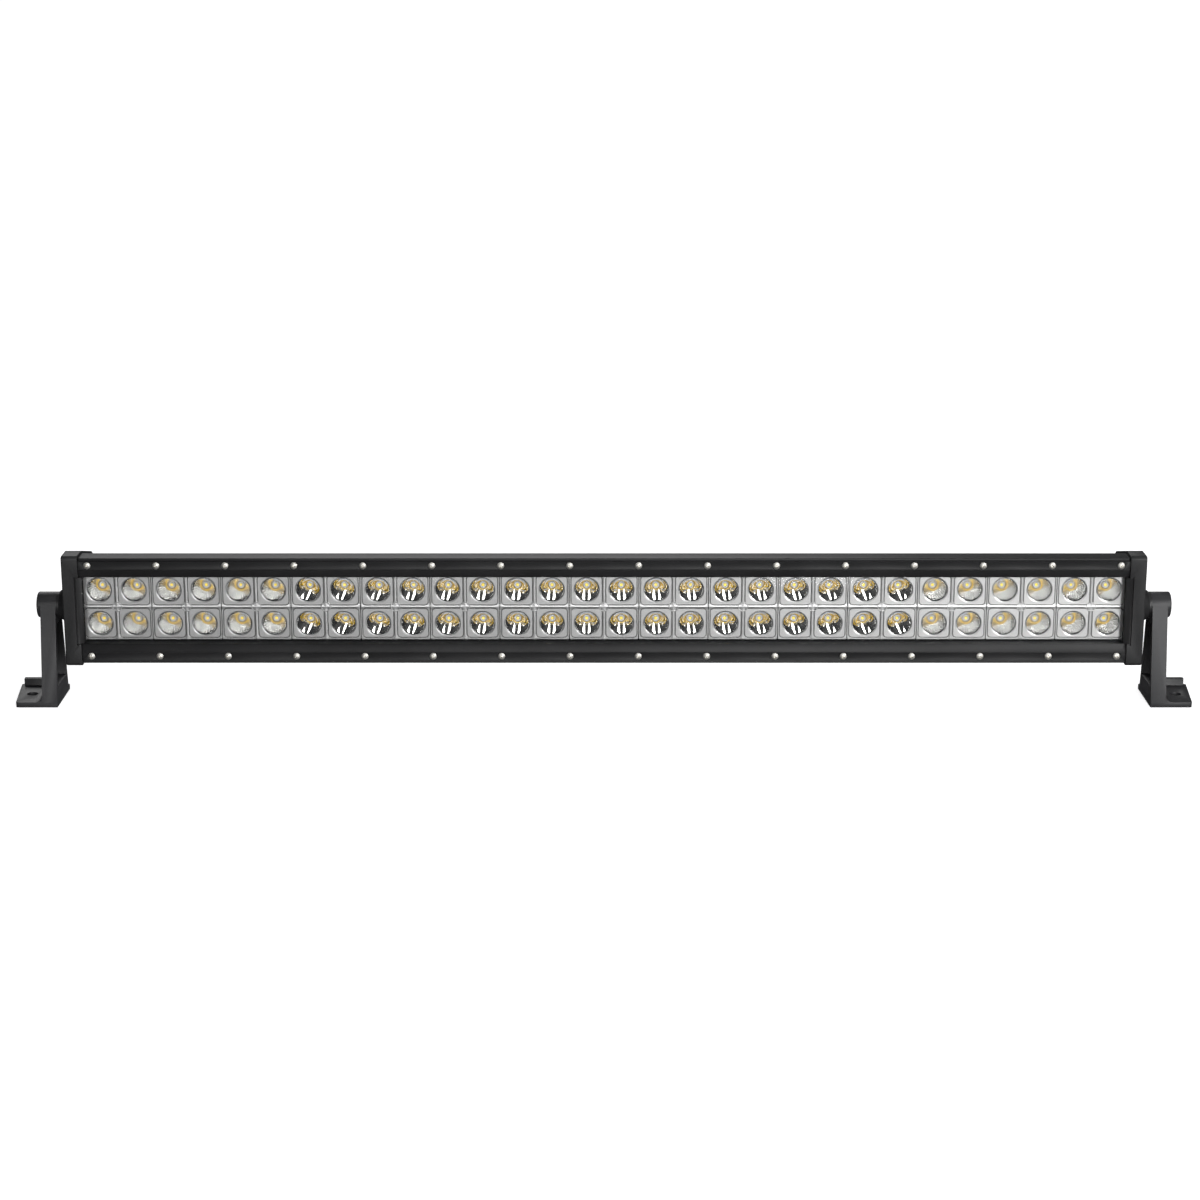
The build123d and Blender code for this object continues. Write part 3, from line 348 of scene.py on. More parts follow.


# painted glow: the phosphor and the emitter bodies emit light and change colour with the view angle
painted_emitter_glow(phosphor, "#ffe02e", "#e8b800", 0.55)
painted_emitter_glow(emitter_body, "#b9bfc8", "#b89400", 0.16)
print("plastics:", len(bpy.data.materials), "materials so far")


# %% [markdown]
# ## Giving CAD shapes their small edges
#
# Extruded, cast and stamped metal never ends in a knife edge, and powder coat rounds every corner a
# little more. Those tiny rounds catch the light and draw the outline of a black object. The frame's
# meshes may not change, so each one that shows is copied, its loose triangles are welded, its flat
# areas are joined, and a Bevel modifier rounds the edges. The copy then stands for the CAD node.

# %% Finished copies of CAD pieces
BODY_OF = {node: body for body, nodes in frame["record"]["behaviour"]["bodies"].items()
           for node in nodes}
SMOOTH_ANGLE = math.radians(32)
FLAT_ANGLE = math.radians(0.3)
BEVEL_ANGLE = math.radians(40)
WELD = 0.002 * MM


def baked(holder):
    """Turn an object with modifiers into the plain mesh that they make."""
    graph = bpy.context.evaluated_depsgraph_get()
    mesh = bpy.data.meshes.new_from_object(holder.evaluated_get(graph))
    holder.modifiers.clear()
    holder.data = mesh
    return holder


def new_object(name, mesh, material):
    """An object at the origin with one material, linked to the scene."""
    piece = bpy.data.objects.new(name, mesh)
    mesh.materials.clear()
    mesh.materials.append(material)
    scene.collection.objects.link(piece)
    return piece


def from_bmesh(name, shape, material):
    """Free a bmesh into a new object, with faces pointing outwards."""
    bmesh.ops.recalc_face_normals(shape, faces=shape.faces)
    mesh = bpy.data.meshes.new(name)
    shape.to_mesh(mesh)
    shape.free()
    return new_object(name, mesh, material)


def shade(piece, angle=SMOOTH_ANGLE):
    """Smooth shading that stays sharp at real edges."""
    piece.data.shade_smooth()
    piece.data.set_sharp_from_angle(angle=angle)
    return piece


def finished_copy(node, material, edge):
    """A welded, bevelled copy that stands for one CAD node."""
    shape = bmesh.new()
    shape.from_mesh(frame["nodes"][node].data)
    bmesh.ops.remove_doubles(shape, verts=shape.verts, dist=WELD)
    bmesh.ops.dissolve_limit(shape, angle_limit=FLAT_ANGLE, verts=shape.verts,
                             edges=shape.edges)
    piece = from_bmesh(f"{node}_finished", shape, material)
    bevel = piece.modifiers.new("edge", "BEVEL")
    bevel.width = edge
    bevel.segments = 2
    bevel.limit_method = "ANGLE"
    bevel.angle_limit = BEVEL_ANGLE
    bevel.use_clamp_overlap = True
    shade(baked(piece))
    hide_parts(node)
    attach(piece, BODY_OF[node])
    return piece


EXTRUDED_EDGE = 0.25 * MM
CAST_CAP_EDGE = 0.35 * MM
CAST_BRACKET_EDGE = 0.45 * MM
MOULDED_EDGE = 0.2 * MM
FORGED_EDGE = 0.2 * MM
STAMPED_EDGE = 0.15 * MM
GASKET_EDGE = 0.1 * MM
FINISHES = [
    ("housing", housing_coat, EXTRUDED_EDGE), ("upper_bezel", bezel_coat, EXTRUDED_EDGE),
    ("lower_bezel", bezel_coat, EXTRUDED_EDGE), ("lens", clear_lens, EXTRUDED_EDGE),
]
SIDE_FINISHES = {
    "end_cap": (cap_coat, CAST_CAP_EDGE), "bracket": (bracket_coat, CAST_BRACKET_EDGE),
    "end_gasket": (rubber, GASKET_EDGE), "pivot_bolt": (stainless, FORGED_EDGE),
    "pivot_pad": (nylon, MOULDED_EDGE), "spring_washer": (zinc_plate, STAMPED_EDGE),
    "flat_washer": (zinc_plate, STAMPED_EDGE), "end_cap_screws": (stainless, STAMPED_EDGE),
}
for side in ("left", "right"):
    FINISHES += [(f"{side}_{node}", *look) for node, look in SIDE_FINISHES.items()]
FINISHES += [(node, nylon, MOULDED_EDGE) for node in ("gland_body", "gland_nut", "breather_vent")]
FINISHES.append(("gland_seal", rubber, MOULDED_EDGE))
for node, material, edge in FINISHES:
    piece = finished_copy(node, material, edge)
    print(f"{piece.name:32s} {len(piece.data.polygons):6d} faces")


# %% [markdown]
# ## Materials for the pieces that stay as they are
#
# Boards, driver, seals and the nuts inside keep their CAD shape. They only get their finish.

# %% Finishes on carried-over nodes
KEPT = {
    "lens_seal": rubber, "wire_grommet": rubber, "gland_oring": rubber, "gland_locknut": nylon,
    "led_board_1": board_mask, "led_board_2": board_mask, "led_board_3": board_mask,
    "board_links": tinned, "driver_board": laminate, "driver_inductors": ferrite,
    "driver_capacitors": can_sleeve, "driver_chips": chip_resin,
    "input_terminal": terminal_green, "led_leads": lead_red,
}
for node, material in KEPT.items():
    mesh = frame["nodes"][node].data
    mesh.materials.clear()
    mesh.materials.append(material)
print("kept nodes with a finish:", len(KEPT))


# %% [markdown]
# ## One tree for everything that stands in rows
#
# Tiles, cups, emitters and screws all repeat on an even grid along the bar. One Geometry Nodes tree
# makes that grid: a column line carries a row line, and the shape is put on every point, turned by
# a seeded random amount, because no two screws stop at the same angle. The tree ends by making the
# copies real and giving them their material.

# %% The grid tree
def new_tree(name, sockets):
    """Geometry Nodes tree with named inputs and one mesh output, and its input sockets."""
    tree = bpy.data.node_groups.new(name, "GeometryNodeTree")
    tree.interface.new_socket("Geometry", in_out="OUTPUT", socket_type="NodeSocketGeometry")
    for socket, kind in sockets.items():
        tree.interface.new_socket(socket, in_out="INPUT", socket_type=f"NodeSocket{kind}")
    return tree, add_node(tree, "NodeGroupInput").outputs


def grid_tree():
    """Geometry Nodes tree that puts one shape on a centred grid in X and Z."""
    tree, given = new_tree("even_grid", {
        "Shape": "Object", "Material": "Material", "Columns": "Int", "Column Pitch": "Float",
        "Rows": "Int", "Row Pitch": "Float", "Centre": "Vector", "Turn": "Float", "Seed": "Int"})

    def centred(count, pitch, axis):
        """Line of points about the origin along one axis."""
        less_one = add_node(tree, "ShaderNodeMath", {0: given[count], 1: 1.0},
                            operation="SUBTRACT").outputs[0]
        span = add_node(tree, "ShaderNodeMath", {0: less_one, 1: given[pitch]},
                        operation="MULTIPLY").outputs[0]
        start = add_node(tree, "ShaderNodeMath", {0: span, 1: -0.5},
                         operation="MULTIPLY").outputs[0]
        first = add_node(tree, "ShaderNodeCombineXYZ", {axis: start}).outputs[0]
        step = add_node(tree, "ShaderNodeCombineXYZ", {axis: given[pitch]}).outputs[0]
        return add_node(tree, "GeometryNodeMeshLine", {
            "Count": given[count], "Start Location": first, "Offset": step}, mode="OFFSET")

    columns = centred("Columns", "Column Pitch", "X")
    rows = centred("Rows", "Row Pitch", "Z")
    grid = add_node(tree, "GeometryNodeInstanceOnPoints", {
        "Points": columns.outputs[0], "Instance": rows.outputs[0]})
    points = add_node(tree, "GeometryNodeRealizeInstances", {"Geometry": grid.outputs[0]})
    moved = add_node(tree, "GeometryNodeSetPosition", {
        "Geometry": points.outputs[0], "Offset": given["Centre"]})
    turn = add_node(tree, "FunctionNodeRandomValue", {"Seed": given["Seed"]}, data_type="FLOAT")
    tree.links.new(given["Turn"], turn.inputs[3])
    angle = add_node(tree, "ShaderNodeCombineXYZ", {"Y": turn.outputs[1]})
    shape = add_node(tree, "GeometryNodeObjectInfo", {"Object": given["Shape"]})
    placed = add_node(tree, "GeometryNodeInstanceOnPoints", {
        "Points": moved.outputs[0], "Instance": shape.outputs["Geometry"],
        "Rotation": angle.outputs[0]})
    real = add_node(tree, "GeometryNodeRealizeInstances", {"Geometry": placed.outputs[0]})
    painted = add_node(tree, "GeometryNodeSetMaterial", {
        "Geometry": real.outputs[0], "Material": given["Material"]})
    add_node(tree, "NodeGroupOutput", {0: painted.outputs[0]})
    return tree


def run_tree(name, tree, material, **values):
    """Run a tree with named inputs and keep the plain mesh that it makes."""
    piece = new_object(name, bpy.data.meshes.new(name), material)
    modifier = piece.modifiers.new("shape", "NODES")
    modifier.node_group = tree
    sockets = {item.name: item.identifier for item in tree.interface.items_tree
               if item.in_out == "INPUT"}
    for key, value in values.items():
        modifier[sockets[key.replace("_", " ")]] = value
    return baked(piece)


EVEN_GRID = grid_tree()
print("grid tree has", len(EVEN_GRID.nodes), "nodes")


# %% [markdown]
# ## Turned shapes
#
# Screws, emitters and bowls are round, so they start from a profile of radius and depth that is
# turned about a line along Y. The profile starts and ends on that line, which closes the shape.

# %% Lathe
def lathe(profile, segments):
    """Turn (radius, depth) points about the Y axis; the ends of the profile lie on the axis."""
    shape = bmesh.new()
    rings = []
    for radius, depth in profile:
        if radius == 0:
            rings.append([shape.verts.new((0, depth, 0))])
            continue
        ring = []
        for index in range(segments):
            angle = 2 * math.pi * index / segments
            ring.append(shape.verts.new((radius * math.cos(angle), depth,
                                         radius * math.sin(angle))))
        rings.append(ring)
    for inner, outer in zip(rings, rings[1:]):
        for index in range(segments):
            after = (index + 1) % segments
            corners = [inner[index % len(inner)], inner[after % len(inner)],
                       outer[after % len(outer)], outer[index % len(outer)]]
            shape.faces.new(dict.fromkeys(corners))
    return shape


def arc_points(centre_radius, centre_depth, radius, start, end, steps):
    """Points of an arc in the profile plane, angles in degrees from the radius axis."""
    points = []
    for index in range(steps + 1):
        angle = math.radians(start + (end - start) * index / steps)
        points.append((centre_radius + radius * math.cos(angle),
                       centre_depth + radius * math.sin(angle)))
    return points


print("a lathed test disc has", len(lathe([(0, 0), (1, 0), (1, 1), (0, 1)], 12).faces), "faces")


# %% [markdown]
# ## Pan-head screws
#
# Thirty-two small stainless screws clamp the two strips, and one more of plain steel sits in the
# middle of every tile. The head is a low dome whose rim is rolled over, with a tapered cross recess
# punched into it. The head is lathed, the cross is cut with a Boolean, and the grid tree sets the
# row, each screw turned its own way.

# %% Screw shape and rows
CROWN_SHARE = 0.55
RIM_SHARE = 0.12
RIM_ROLL = 0.1 * MM
POINT_LENGTH = 0.5 * MM
POINT_INSET = 0.4 * MM
CROSS_REACH = 0.3
CROSS_WIDTH = 0.075
CROSS_FLOOR = 0.35
CROSS_FLOOR_REACH = 0.45
CROSS_FLOOR_WIDTH = 0.78
CUT_OVER = 0.2 * MM


def drive_cross(reach, width, top, floor):
    """Tapered cross that cuts the driver recess."""
    shape = bmesh.new()
    for turn in (0, math.pi / 2):
        ends = []
        for depth, half, side in (
                (top, reach, width),
                (floor, reach * CROSS_FLOOR_REACH, width * CROSS_FLOOR_WIDTH)):
            ends.append([shape.verts.new(Matrix.Rotation(turn, 3, "Y") @ Vector((x, depth, z)))
                         for x, z in ((-half, -side), (half, -side), (half, side), (-half, side))])
        outer, inner = ends
        shape.faces.new(outer)
        shape.faces.new(inner)
        for index in range(4):
            after = (index + 1) % 4
            shape.faces.new((outer[index], outer[after], inner[after], inner[index]))
    bmesh.ops.recalc_face_normals(shape, faces=shape.faces)
    return shape


def screw_shape(name, head, height, shank, length):
    """One screw with its seat at depth 0 and its head towards -Y."""
    crown = height * CROWN_SHARE
    sphere = (head ** 2 / 4 + crown ** 2) / (2 * crown)
    slope = math.degrees(math.asin(head / 2 / sphere))
    dome = arc_points(0, -height + sphere, sphere, -90, -90 + slope, 6)
    profile = [(0, -height)] + dome[1:] + [
        (head / 2, -height * RIM_SHARE), (head / 2 - RIM_ROLL, 0), (shank / 2, 0),
        (shank / 2, length - POINT_LENGTH), (shank / 2 - POINT_INSET, length), (0, length)]
    screw = shade(from_bmesh(name, lathe(profile, 32), stainless))
    cross = drive_cross(head * CROSS_REACH, head * CROSS_WIDTH, -height - CUT_OVER,
                        -height * CROSS_FLOOR)
    cutter = from_bmesh(name + "_cross", cross, stainless)
    cut = screw.modifiers.new("recess", "BOOLEAN")
    cut.object = cutter
    cut.solver = "EXACT"
    cut.use_self = True
    baked(screw)
    shade(screw)
    bpy.data.objects.remove(cutter)
    return screw


BEZEL_SCREWS = 16
HEAD = 5.2 * MM
HEAD_HEIGHT = 1.9 * MM
SHANK = 3.0 * MM
BEZEL_SCREW_LENGTH = 9.0 * MM
bezel_screw = screw_shape("bezel_screw_shape", HEAD, HEAD_HEIGHT, SHANK, BEZEL_SCREW_LENGTH)
for level in ("upper", "lower"):
    node = f"{level}_bezel_screws"
    low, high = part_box(node)
    row = run_tree(
        f"{level}_bezel_screw_row", EVEN_GRID, stainless, Shape=bezel_screw, Material=stainless,
        Columns=BEZEL_SCREWS, Column_Pitch=(high.x - low.x - HEAD) / (BEZEL_SCREWS - 1),
        Rows=1, Row_Pitch=1.0, Centre=(0, low.y + HEAD_HEIGHT, (low.z + high.z) / 2),
        Turn=math.pi / 2, Seed=len(level) + ord(level[0]))
    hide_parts(node)
    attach(row, BODY_OF[node])
    print(row.name, len(row.data.polygons), "faces")

TILES = 15
TILE_HEAD = 5.6 * MM
TILE_HEAD_HEIGHT = 2.0 * MM
low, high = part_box("reflector_screws")
TILE_PITCH = (high.x - low.x - TILE_HEAD) / (TILES - 1)
AXIS_Z = (low.z + high.z) / 2
tile_screw = screw_shape("tile_screw_shape", TILE_HEAD, TILE_HEAD_HEIGHT, SHANK,
                         high.y - low.y - TILE_HEAD_HEIGHT)
row = run_tree(
    "tile_screw_row", EVEN_GRID, dull_steel, Shape=tile_screw, Material=dull_steel,
    Columns=TILES, Column_Pitch=TILE_PITCH, Rows=1, Row_Pitch=1.0,
    Centre=(0, low.y + TILE_HEAD_HEIGHT, AXIS_Z), Turn=math.pi / 2, Seed=5)
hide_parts("reflector_screws")
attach(row, "light_bar")
print(row.name, len(row.data.polygons), "faces; tile pitch", round(TILE_PITCH / MM, 2), "mm")
for shape in (bezel_screw, tile_screw):
    bpy.data.objects.remove(shape)


# %% [markdown]
# ## The face of a reflector tile
#
# Each tile shows four square cells with rounded corners. A fine groove runs round every cell, and a
# narrow rib is left between neighbours. The outer edge above and below is bevelled. The face is
# drawn as rings of points that start at the cup's mouth and end at the cell's border: every ring
# has the same number of points, so neighbouring rings join into clean quads. The other three cells
# are mirror images, and a skirt is pulled back from the tile's outline.

# %% Tile face
COLUMN = TILE_PITCH / 2
tile_low, tile_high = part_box("spot_reflector_5")
TILE_HALF_X = (tile_high.x - tile_low.x) / 2
TILE_HALF_Z = (tile_high.z - tile_low.z) / 2
emitter_low, emitter_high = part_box("emitters_2")
EMITTER_BODY = 5.2 * MM
ROW = emitter_high.z - emitter_low.z - EMITTER_BODY
CUP_RIM = 9.8 * MM
CUP_MOUTH = 8.9 * MM
MOUTH_BEVEL = 0.5 * MM
CELL_HALF = 11.2 * MM
CELL_TRIM = 0.8 * MM
CELL_CORNER = 2.2 * MM
GROOVE = 0.8 * MM
RIB_ROUND = 0.25 * MM
RIB_LINE = 0.45 * MM
RIB_CROWN = 0.28 * MM
EDGE_FLAT = 1.35 * MM
EDGE_DROP = 1.12 * MM
SHEET = 0.8 * MM
SKIRT = 9.4 * MM
RING_POINTS = 96
SAME_PLACE = 0.01 * MM
FACE_ANGLE = math.radians(25)


def frame_point(angle, left, right, bottom, top, radius):
    """Where a ray from the cup's centre meets a rounded rectangle."""
    dx, dz = math.cos(angle), math.sin(angle)
    reach = min((right if dx > 0 else left) / dx, (top if dz > 0 else bottom) / dz)
    corner_x = right - radius if dx > 0 else left + radius
    corner_z = top - radius if dz > 0 else bottom + radius
    if abs(dx * reach) > abs(corner_x) and abs(dz * reach) > abs(corner_z):
        along = dx * corner_x + dz * corner_z
        reach = along + math.sqrt(
            along ** 2 - corner_x ** 2 - corner_z ** 2 + radius ** 2)
    return dx * reach, dz * reach


def cell_rings():
    """Rings of (x, depth, z) points for the cell whose outer corner is up and to the right."""
    inner_x, outer_x = -COLUMN / 2, TILE_HALF_X - COLUMN / 2
    inner_z, outer_z = -ROW / 2, TILE_HALF_Z - ROW / 2
    angles = [2 * math.pi * (index + 0.5) / RING_POINTS for index in range(RING_POINTS)]
    for x in (inner_x, outer_x):
        for z in (inner_z, outer_z):
            corner = math.atan2(z, x) % (2 * math.pi)
            nearest = min(range(RING_POINTS), key=lambda i: abs(angles[i] - corner))
            angles[nearest] = corner
    rings = [
        [(CUP_MOUTH * math.cos(a), MOUTH_BEVEL, CUP_MOUTH * math.sin(a)) for a in angles],
        [(CUP_RIM * math.cos(a), 0, CUP_RIM * math.sin(a)) for a in angles],
    ]
    top = CELL_HALF - CELL_TRIM
    outlines = [
        (-CELL_HALF - grow, CELL_HALF + grow, -CELL_HALF - grow, top + grow, CELL_CORNER + grow,
         depth) for grow, depth in ((0, 0), (0, GROOVE), (GROOVE, GROOVE), (GROOVE, 0))]
    outlines.append((inner_x + RIB_LINE, outer_x - RIB_ROUND, inner_z + RIB_LINE,
                     outer_z - EDGE_FLAT, 0, 0))
    for left, right, bottom, upper, radius, depth in outlines:
        ring = [frame_point(a, left, right, bottom, upper, radius) for a in angles]
        rings.append([(x, depth - rib_rise(x - inner_x, z - inner_z), z) for x, z in ring])
    border = [frame_point(a, inner_x, outer_x, inner_z, outer_z, 0) for a in angles]
    rings.append([(x, border_drop(x, z, outer_x, outer_z) - rib_rise(x - inner_x, z - inner_z), z)
                  for x, z in border])
    return rings


def rib_rise(from_side, from_below):
    """Crown of the ribs along the tile's middle lines, as a height over the face."""
    rib_half = COLUMN / 2 - CELL_HALF - GROOVE
    near = min(from_side, from_below) / rib_half
    return RIB_CROWN * max(0, 1 - near ** 2)


def border_drop(x, z, outer_x, outer_z):
    """How far the cell's border lies behind its face: a bevel above, a small round outside."""
    if z > outer_z - SAME_PLACE:
        return EDGE_DROP
    if x > outer_x - SAME_PLACE:
        return RIB_ROUND
    return 0


def tile_face():
    """Face sheet of one tile about its own centre, with its skirt."""
    shape = bmesh.new()
    rings = cell_rings()
    for mirror_x in (1, -1):
        for mirror_z in (1, -1):
            levels = []
            for ring in rings:
                levels.append([
                    shape.verts.new((mirror_x * (COLUMN / 2 + x), depth,
                                     mirror_z * (ROW / 2 + z)))
                    for x, depth, z in ring])
            for inner, outer in zip(levels, levels[1:]):
                for index in range(RING_POINTS):
                    after = (index + 1) % RING_POINTS
                    shape.faces.new((inner[index], inner[after], outer[after], outer[index]))
    bmesh.ops.remove_doubles(shape, verts=shape.verts, dist=SAME_PLACE)
    rim = [e for e in shape.edges if e.is_boundary and on_outline(e)]
    pulled = bmesh.ops.extrude_edge_only(shape, edges=rim)
    for vert in [v for v in pulled["geom"] if isinstance(v, bmesh.types.BMVert)]:
        vert.co.y = SKIRT
    bmesh.ops.recalc_face_normals(shape, faces=shape.faces)
    front = max(shape.faces, key=lambda f: f.calc_area())
    if front.normal.y > 0:
        bmesh.ops.reverse_faces(shape, faces=shape.faces)
    return shape


def on_outline(edge):
    """True for an edge on the tile's outer outline."""
    middle = (edge.verts[0].co + edge.verts[1].co) / 2
    near = 5 * SAME_PLACE
    return abs(middle.x) > TILE_HALF_X - near or abs(middle.z) > TILE_HALF_Z - near


face_mesh = bpy.data.meshes.new("tile_face_shape")
face_shape = tile_face()
face_shape.to_mesh(face_mesh)
face_shape.free()
face_piece = new_object("tile_face_shape", face_mesh, satin_plating)
wall = face_piece.modifiers.new("wall", "SOLIDIFY")
wall.thickness = SHEET
wall.offset = -1
shade(baked(face_piece), FACE_ANGLE)
print("one tile face:", len(face_piece.data.polygons), "faces")


# %% [markdown]
# ## Tiles in a row
#
# The middle of every tile carries a round post, and the screw head sinks into it. The post is lathed
# and joined to the face. The outer three tiles at each end throw a wide beam and the nine between
# throw a narrow one. They share this face, so the grid tree lays down both sets from one shape.

# %% Tile rows
POST = 7.6 * MM
RECESS = 6.0 * MM
RECESS_DEPTH = 2.3 * MM
POST_ROUND = 0.25 * MM
POST_LENGTH = 4 * MM
FLOOD_PER_END = 3


def joined(name, pieces, material):
    """One object from several, with the sources removed."""
    shape = bmesh.new()
    for piece in pieces:
        shape.from_mesh(piece.data)
        bpy.data.objects.remove(piece)
    mesh = bpy.data.meshes.new(name)
    shape.to_mesh(mesh)
    shape.free()
    return new_object(name, mesh, material)


post_profile = [
    (0, RECESS_DEPTH - POST_RISE), (RECESS / 2, RECESS_DEPTH - POST_RISE),
    (RECESS / 2, POST_ROUND - POST_RISE), (RECESS / 2 + POST_ROUND / 2, -POST_RISE),
    (POST / 2 - POST_ROUND, -POST_RISE), (POST / 2, POST_ROUND - POST_RISE),
    (POST / 2, POST_LENGTH), (0, POST_LENGTH)]
post = shade(from_bmesh("tile_post_shape", lathe(post_profile, 48), satin_plating))
tile_shape = joined("tile_shape", [face_piece, post], satin_plating)


def tile_row(name, count, centre_x, node_names):
    """Some tiles side by side, standing for their CAD nodes."""
    row = run_tree(name, EVEN_GRID, satin_plating, Shape=tile_shape, Material=satin_plating,
                   Columns=count, Column_Pitch=TILE_PITCH, Rows=1, Row_Pitch=1.0,
                   Centre=(centre_x, TILE_FACE, AXIS_Z), Turn=0.0, Seed=1)
    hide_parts(*node_names)
    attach(row, "light_bar")
    print(row.name, len(row.data.polygons), "faces")
    return row


SPOT_TILES = TILES - 2 * FLOOD_PER_END
FLOOD_CENTRE = TILE_PITCH * (TILES - FLOOD_PER_END) / 2
spot_nodes = [f"spot_reflector_{i}" for i in range(1, SPOT_TILES + 1)]
flood_nodes = [f"flood_reflector_{i}" for i in range(1, 2 * FLOOD_PER_END + 1)]
FLOOD_ENDS = (("left", -FLOOD_CENTRE, flood_nodes[:FLOOD_PER_END]),
              ("right", FLOOD_CENTRE, flood_nodes[FLOOD_PER_END:]))
tile_row("spot_tile_faces", SPOT_TILES, 0.0, spot_nodes)
for side, centre_x, nodes in FLOOD_ENDS:
    tile_row(f"flood_tile_faces_{side}", FLOOD_PER_END, centre_x, nodes)
bpy.data.objects.remove(tile_shape)


# %% [markdown]
# ## Cups that follow a rule
#
# A narrow-beam cup is a paraboloid with the dies at its focus, so every ray leaves it straight
# ahead. A wide-beam cup lies nearer to a cone and has flutes, which smear the beam. Both come from
# one formula: radius and angle run over a flat grid, and the formula gives the depth. A Geometry
# Nodes tree is the natural tool, because the sizes stay named inputs and the grid folds itself into
# a bowl.

# %% The bowl tree
SEAM = 0.005 * MM


def bowl_tree():
    """Geometry Nodes tree for one bowl about the Y axis, mouth at the front."""
    sockets = dict.fromkeys(("Segments", "Rings", "Flutes"), "Int")
    sockets |= dict.fromkeys(("Neck Radius", "Mouth Radius", "Vertex Depth", "Focus", "Bend",
                              "Flute Depth", "Neck Share", "Neck Length"), "Float")
    tree, given = new_tree("reflector_bowl", sockets | {"Material": "Material"})

    def calc(operation, *values):
        """One math node, read like an ordinary function call."""
        node = add_node(tree, "ShaderNodeMath", dict(enumerate(values)), operation=operation)
        return node.outputs[0]

    def parabola(radius):
        """Depth of the paraboloid at a radius."""
        square = calc("MULTIPLY", radius, radius)
        return calc("SUBTRACT", given["Vertex Depth"],
                    calc("DIVIDE", square, calc("MULTIPLY", given["Focus"], 4.0)))

    segments = calc("ADD", given["Segments"], 1.0)
    flat = add_node(tree, "GeometryNodeMeshGrid", {
        "Size X": 1.0, "Size Y": 1.0, "Vertices X": segments, "Vertices Y": given["Rings"]})
    where = add_node(tree, "GeometryNodeInputPosition").outputs[0]
    place = add_node(tree, "ShaderNodeSeparateXYZ", {0: where}).outputs
    angle = calc("MULTIPLY", calc("ADD", place["X"], 0.5), 2 * math.pi)
    along = calc("ADD", place["Y"], 0.5)
    whole = calc("ADD", given["Neck Share"], 1.0)
    climb = calc("SUBTRACT", calc("MULTIPLY", along, whole), given["Neck Share"])
    up = calc("MAXIMUM", climb, 0.0)
    down = calc("DIVIDE", calc("MAXIMUM", calc("MULTIPLY", climb, -1.0), 0.0),
                given["Neck Share"])
    reach = calc("SUBTRACT", given["Mouth Radius"], given["Neck Radius"])
    radius = calc("MULTIPLY_ADD", up, reach, given["Neck Radius"])
    neck_depth = parabola(given["Neck Radius"])
    mouth_depth = parabola(given["Mouth Radius"])
    straight = calc("MULTIPLY_ADD", up, calc("SUBTRACT", mouth_depth, neck_depth), neck_depth)
    bent = calc("MULTIPLY_ADD", calc("SUBTRACT", parabola(radius), straight), given["Bend"],
                straight)
    depth = calc("MULTIPLY_ADD", down, given["Neck Length"], bent)
    wave = calc("ABSOLUTE", calc("SINE", calc("MULTIPLY", angle,
                                              calc("DIVIDE", given["Flutes"], 2.0))))
    rise = calc("MULTIPLY", calc("SINE", calc("MULTIPLY", up, math.pi)), given["Flute Depth"])
    scalloped = calc("MULTIPLY_ADD", wave, rise, radius)
    folded = add_node(tree, "ShaderNodeCombineXYZ", {
        "X": calc("MULTIPLY", scalloped, calc("COSINE", angle)), "Y": depth,
        "Z": calc("MULTIPLY", scalloped, calc("SINE", angle))})
    bowl = add_node(tree, "GeometryNodeSetPosition", {
        "Geometry": flat.outputs["Mesh"], "Position": folded.outputs[0]})
    closed = add_node(tree, "GeometryNodeMergeByDistance", {
        "Geometry": bowl.outputs[0], "Distance": SEAM})
    smooth = add_node(tree, "GeometryNodeSetShadeSmooth", {"Geometry": closed.outputs[0]})
    real = add_node(tree, "GeometryNodeRealizeInstances", {"Geometry": smooth.outputs[0]})
    painted = add_node(tree, "GeometryNodeSetMaterial", {
        "Geometry": real.outputs[0], "Material": given["Material"]})
    add_node(tree, "NodeGroupOutput", {0: painted.outputs[0]})
    return tree


BOWL = bowl_tree()
print("bowl tree has", len(BOWL.nodes), "nodes")


# %% [markdown]
# ## Bowls for both beams
#
# The focus follows from the sizes alone: the paraboloid passes through the mouth and has the dies
# at its focus. The bowl gets its wall with a Solidify modifier once it is closed.

# %% Cups in rows
DIE_DEPTH = 15.0 * MM
CUP_RADIUS = 9.05 * MM
NECK = 2.9 * MM
NECK_GAP = 0.3 * MM
WALL = 0.6 * MM
FOCUS = (math.hypot(DIE_DEPTH, CUP_RADIUS) - DIE_DEPTH) / 2
NECK_DEPTH = DIE_DEPTH + FOCUS - NECK ** 2 / (4 * FOCUS)
NECK_END = emitter_high.y - NECK_GAP - TILE_FACE


def bowl_shape(name, material, segments, rings, bend, flutes, flute_depth):
    """One bowl with its mouth at the tile's face, walled outwards."""
    bowl = run_tree(
        name, BOWL, material, Segments=segments, Rings=rings, Flutes=flutes,
        Neck_Radius=NECK, Mouth_Radius=CUP_MOUTH, Vertex_Depth=DIE_DEPTH + FOCUS, Focus=FOCUS,
        Bend=bend, Flute_Depth=flute_depth, Neck_Share=0.25, Neck_Length=NECK_END - NECK_DEPTH,
        Material=material)
    inward = bowl.data.polygons[len(bowl.data.polygons) // 2]
    middle = Vector((inward.center.x, 0, inward.center.z))
    if inward.normal.dot(middle) > 0:
        bowl.data.flip_normals()
    wall = bowl.modifiers.new("wall", "SOLIDIFY")
    wall.thickness = WALL
    wall.offset = -1
    return baked(bowl)


spot_bowl = bowl_shape("spot_bowl_shape", mirror_plating, 64, 14, 1.0, 1, 0.0)
flood_bowl = bowl_shape("flood_bowl_shape", fluted_plating, 192, 9, 0.45, 24, 0.32 * MM)
print("bowl faces:", len(spot_bowl.data.polygons), len(flood_bowl.data.polygons),
      "focus", round(FOCUS / MM, 3), "mm")


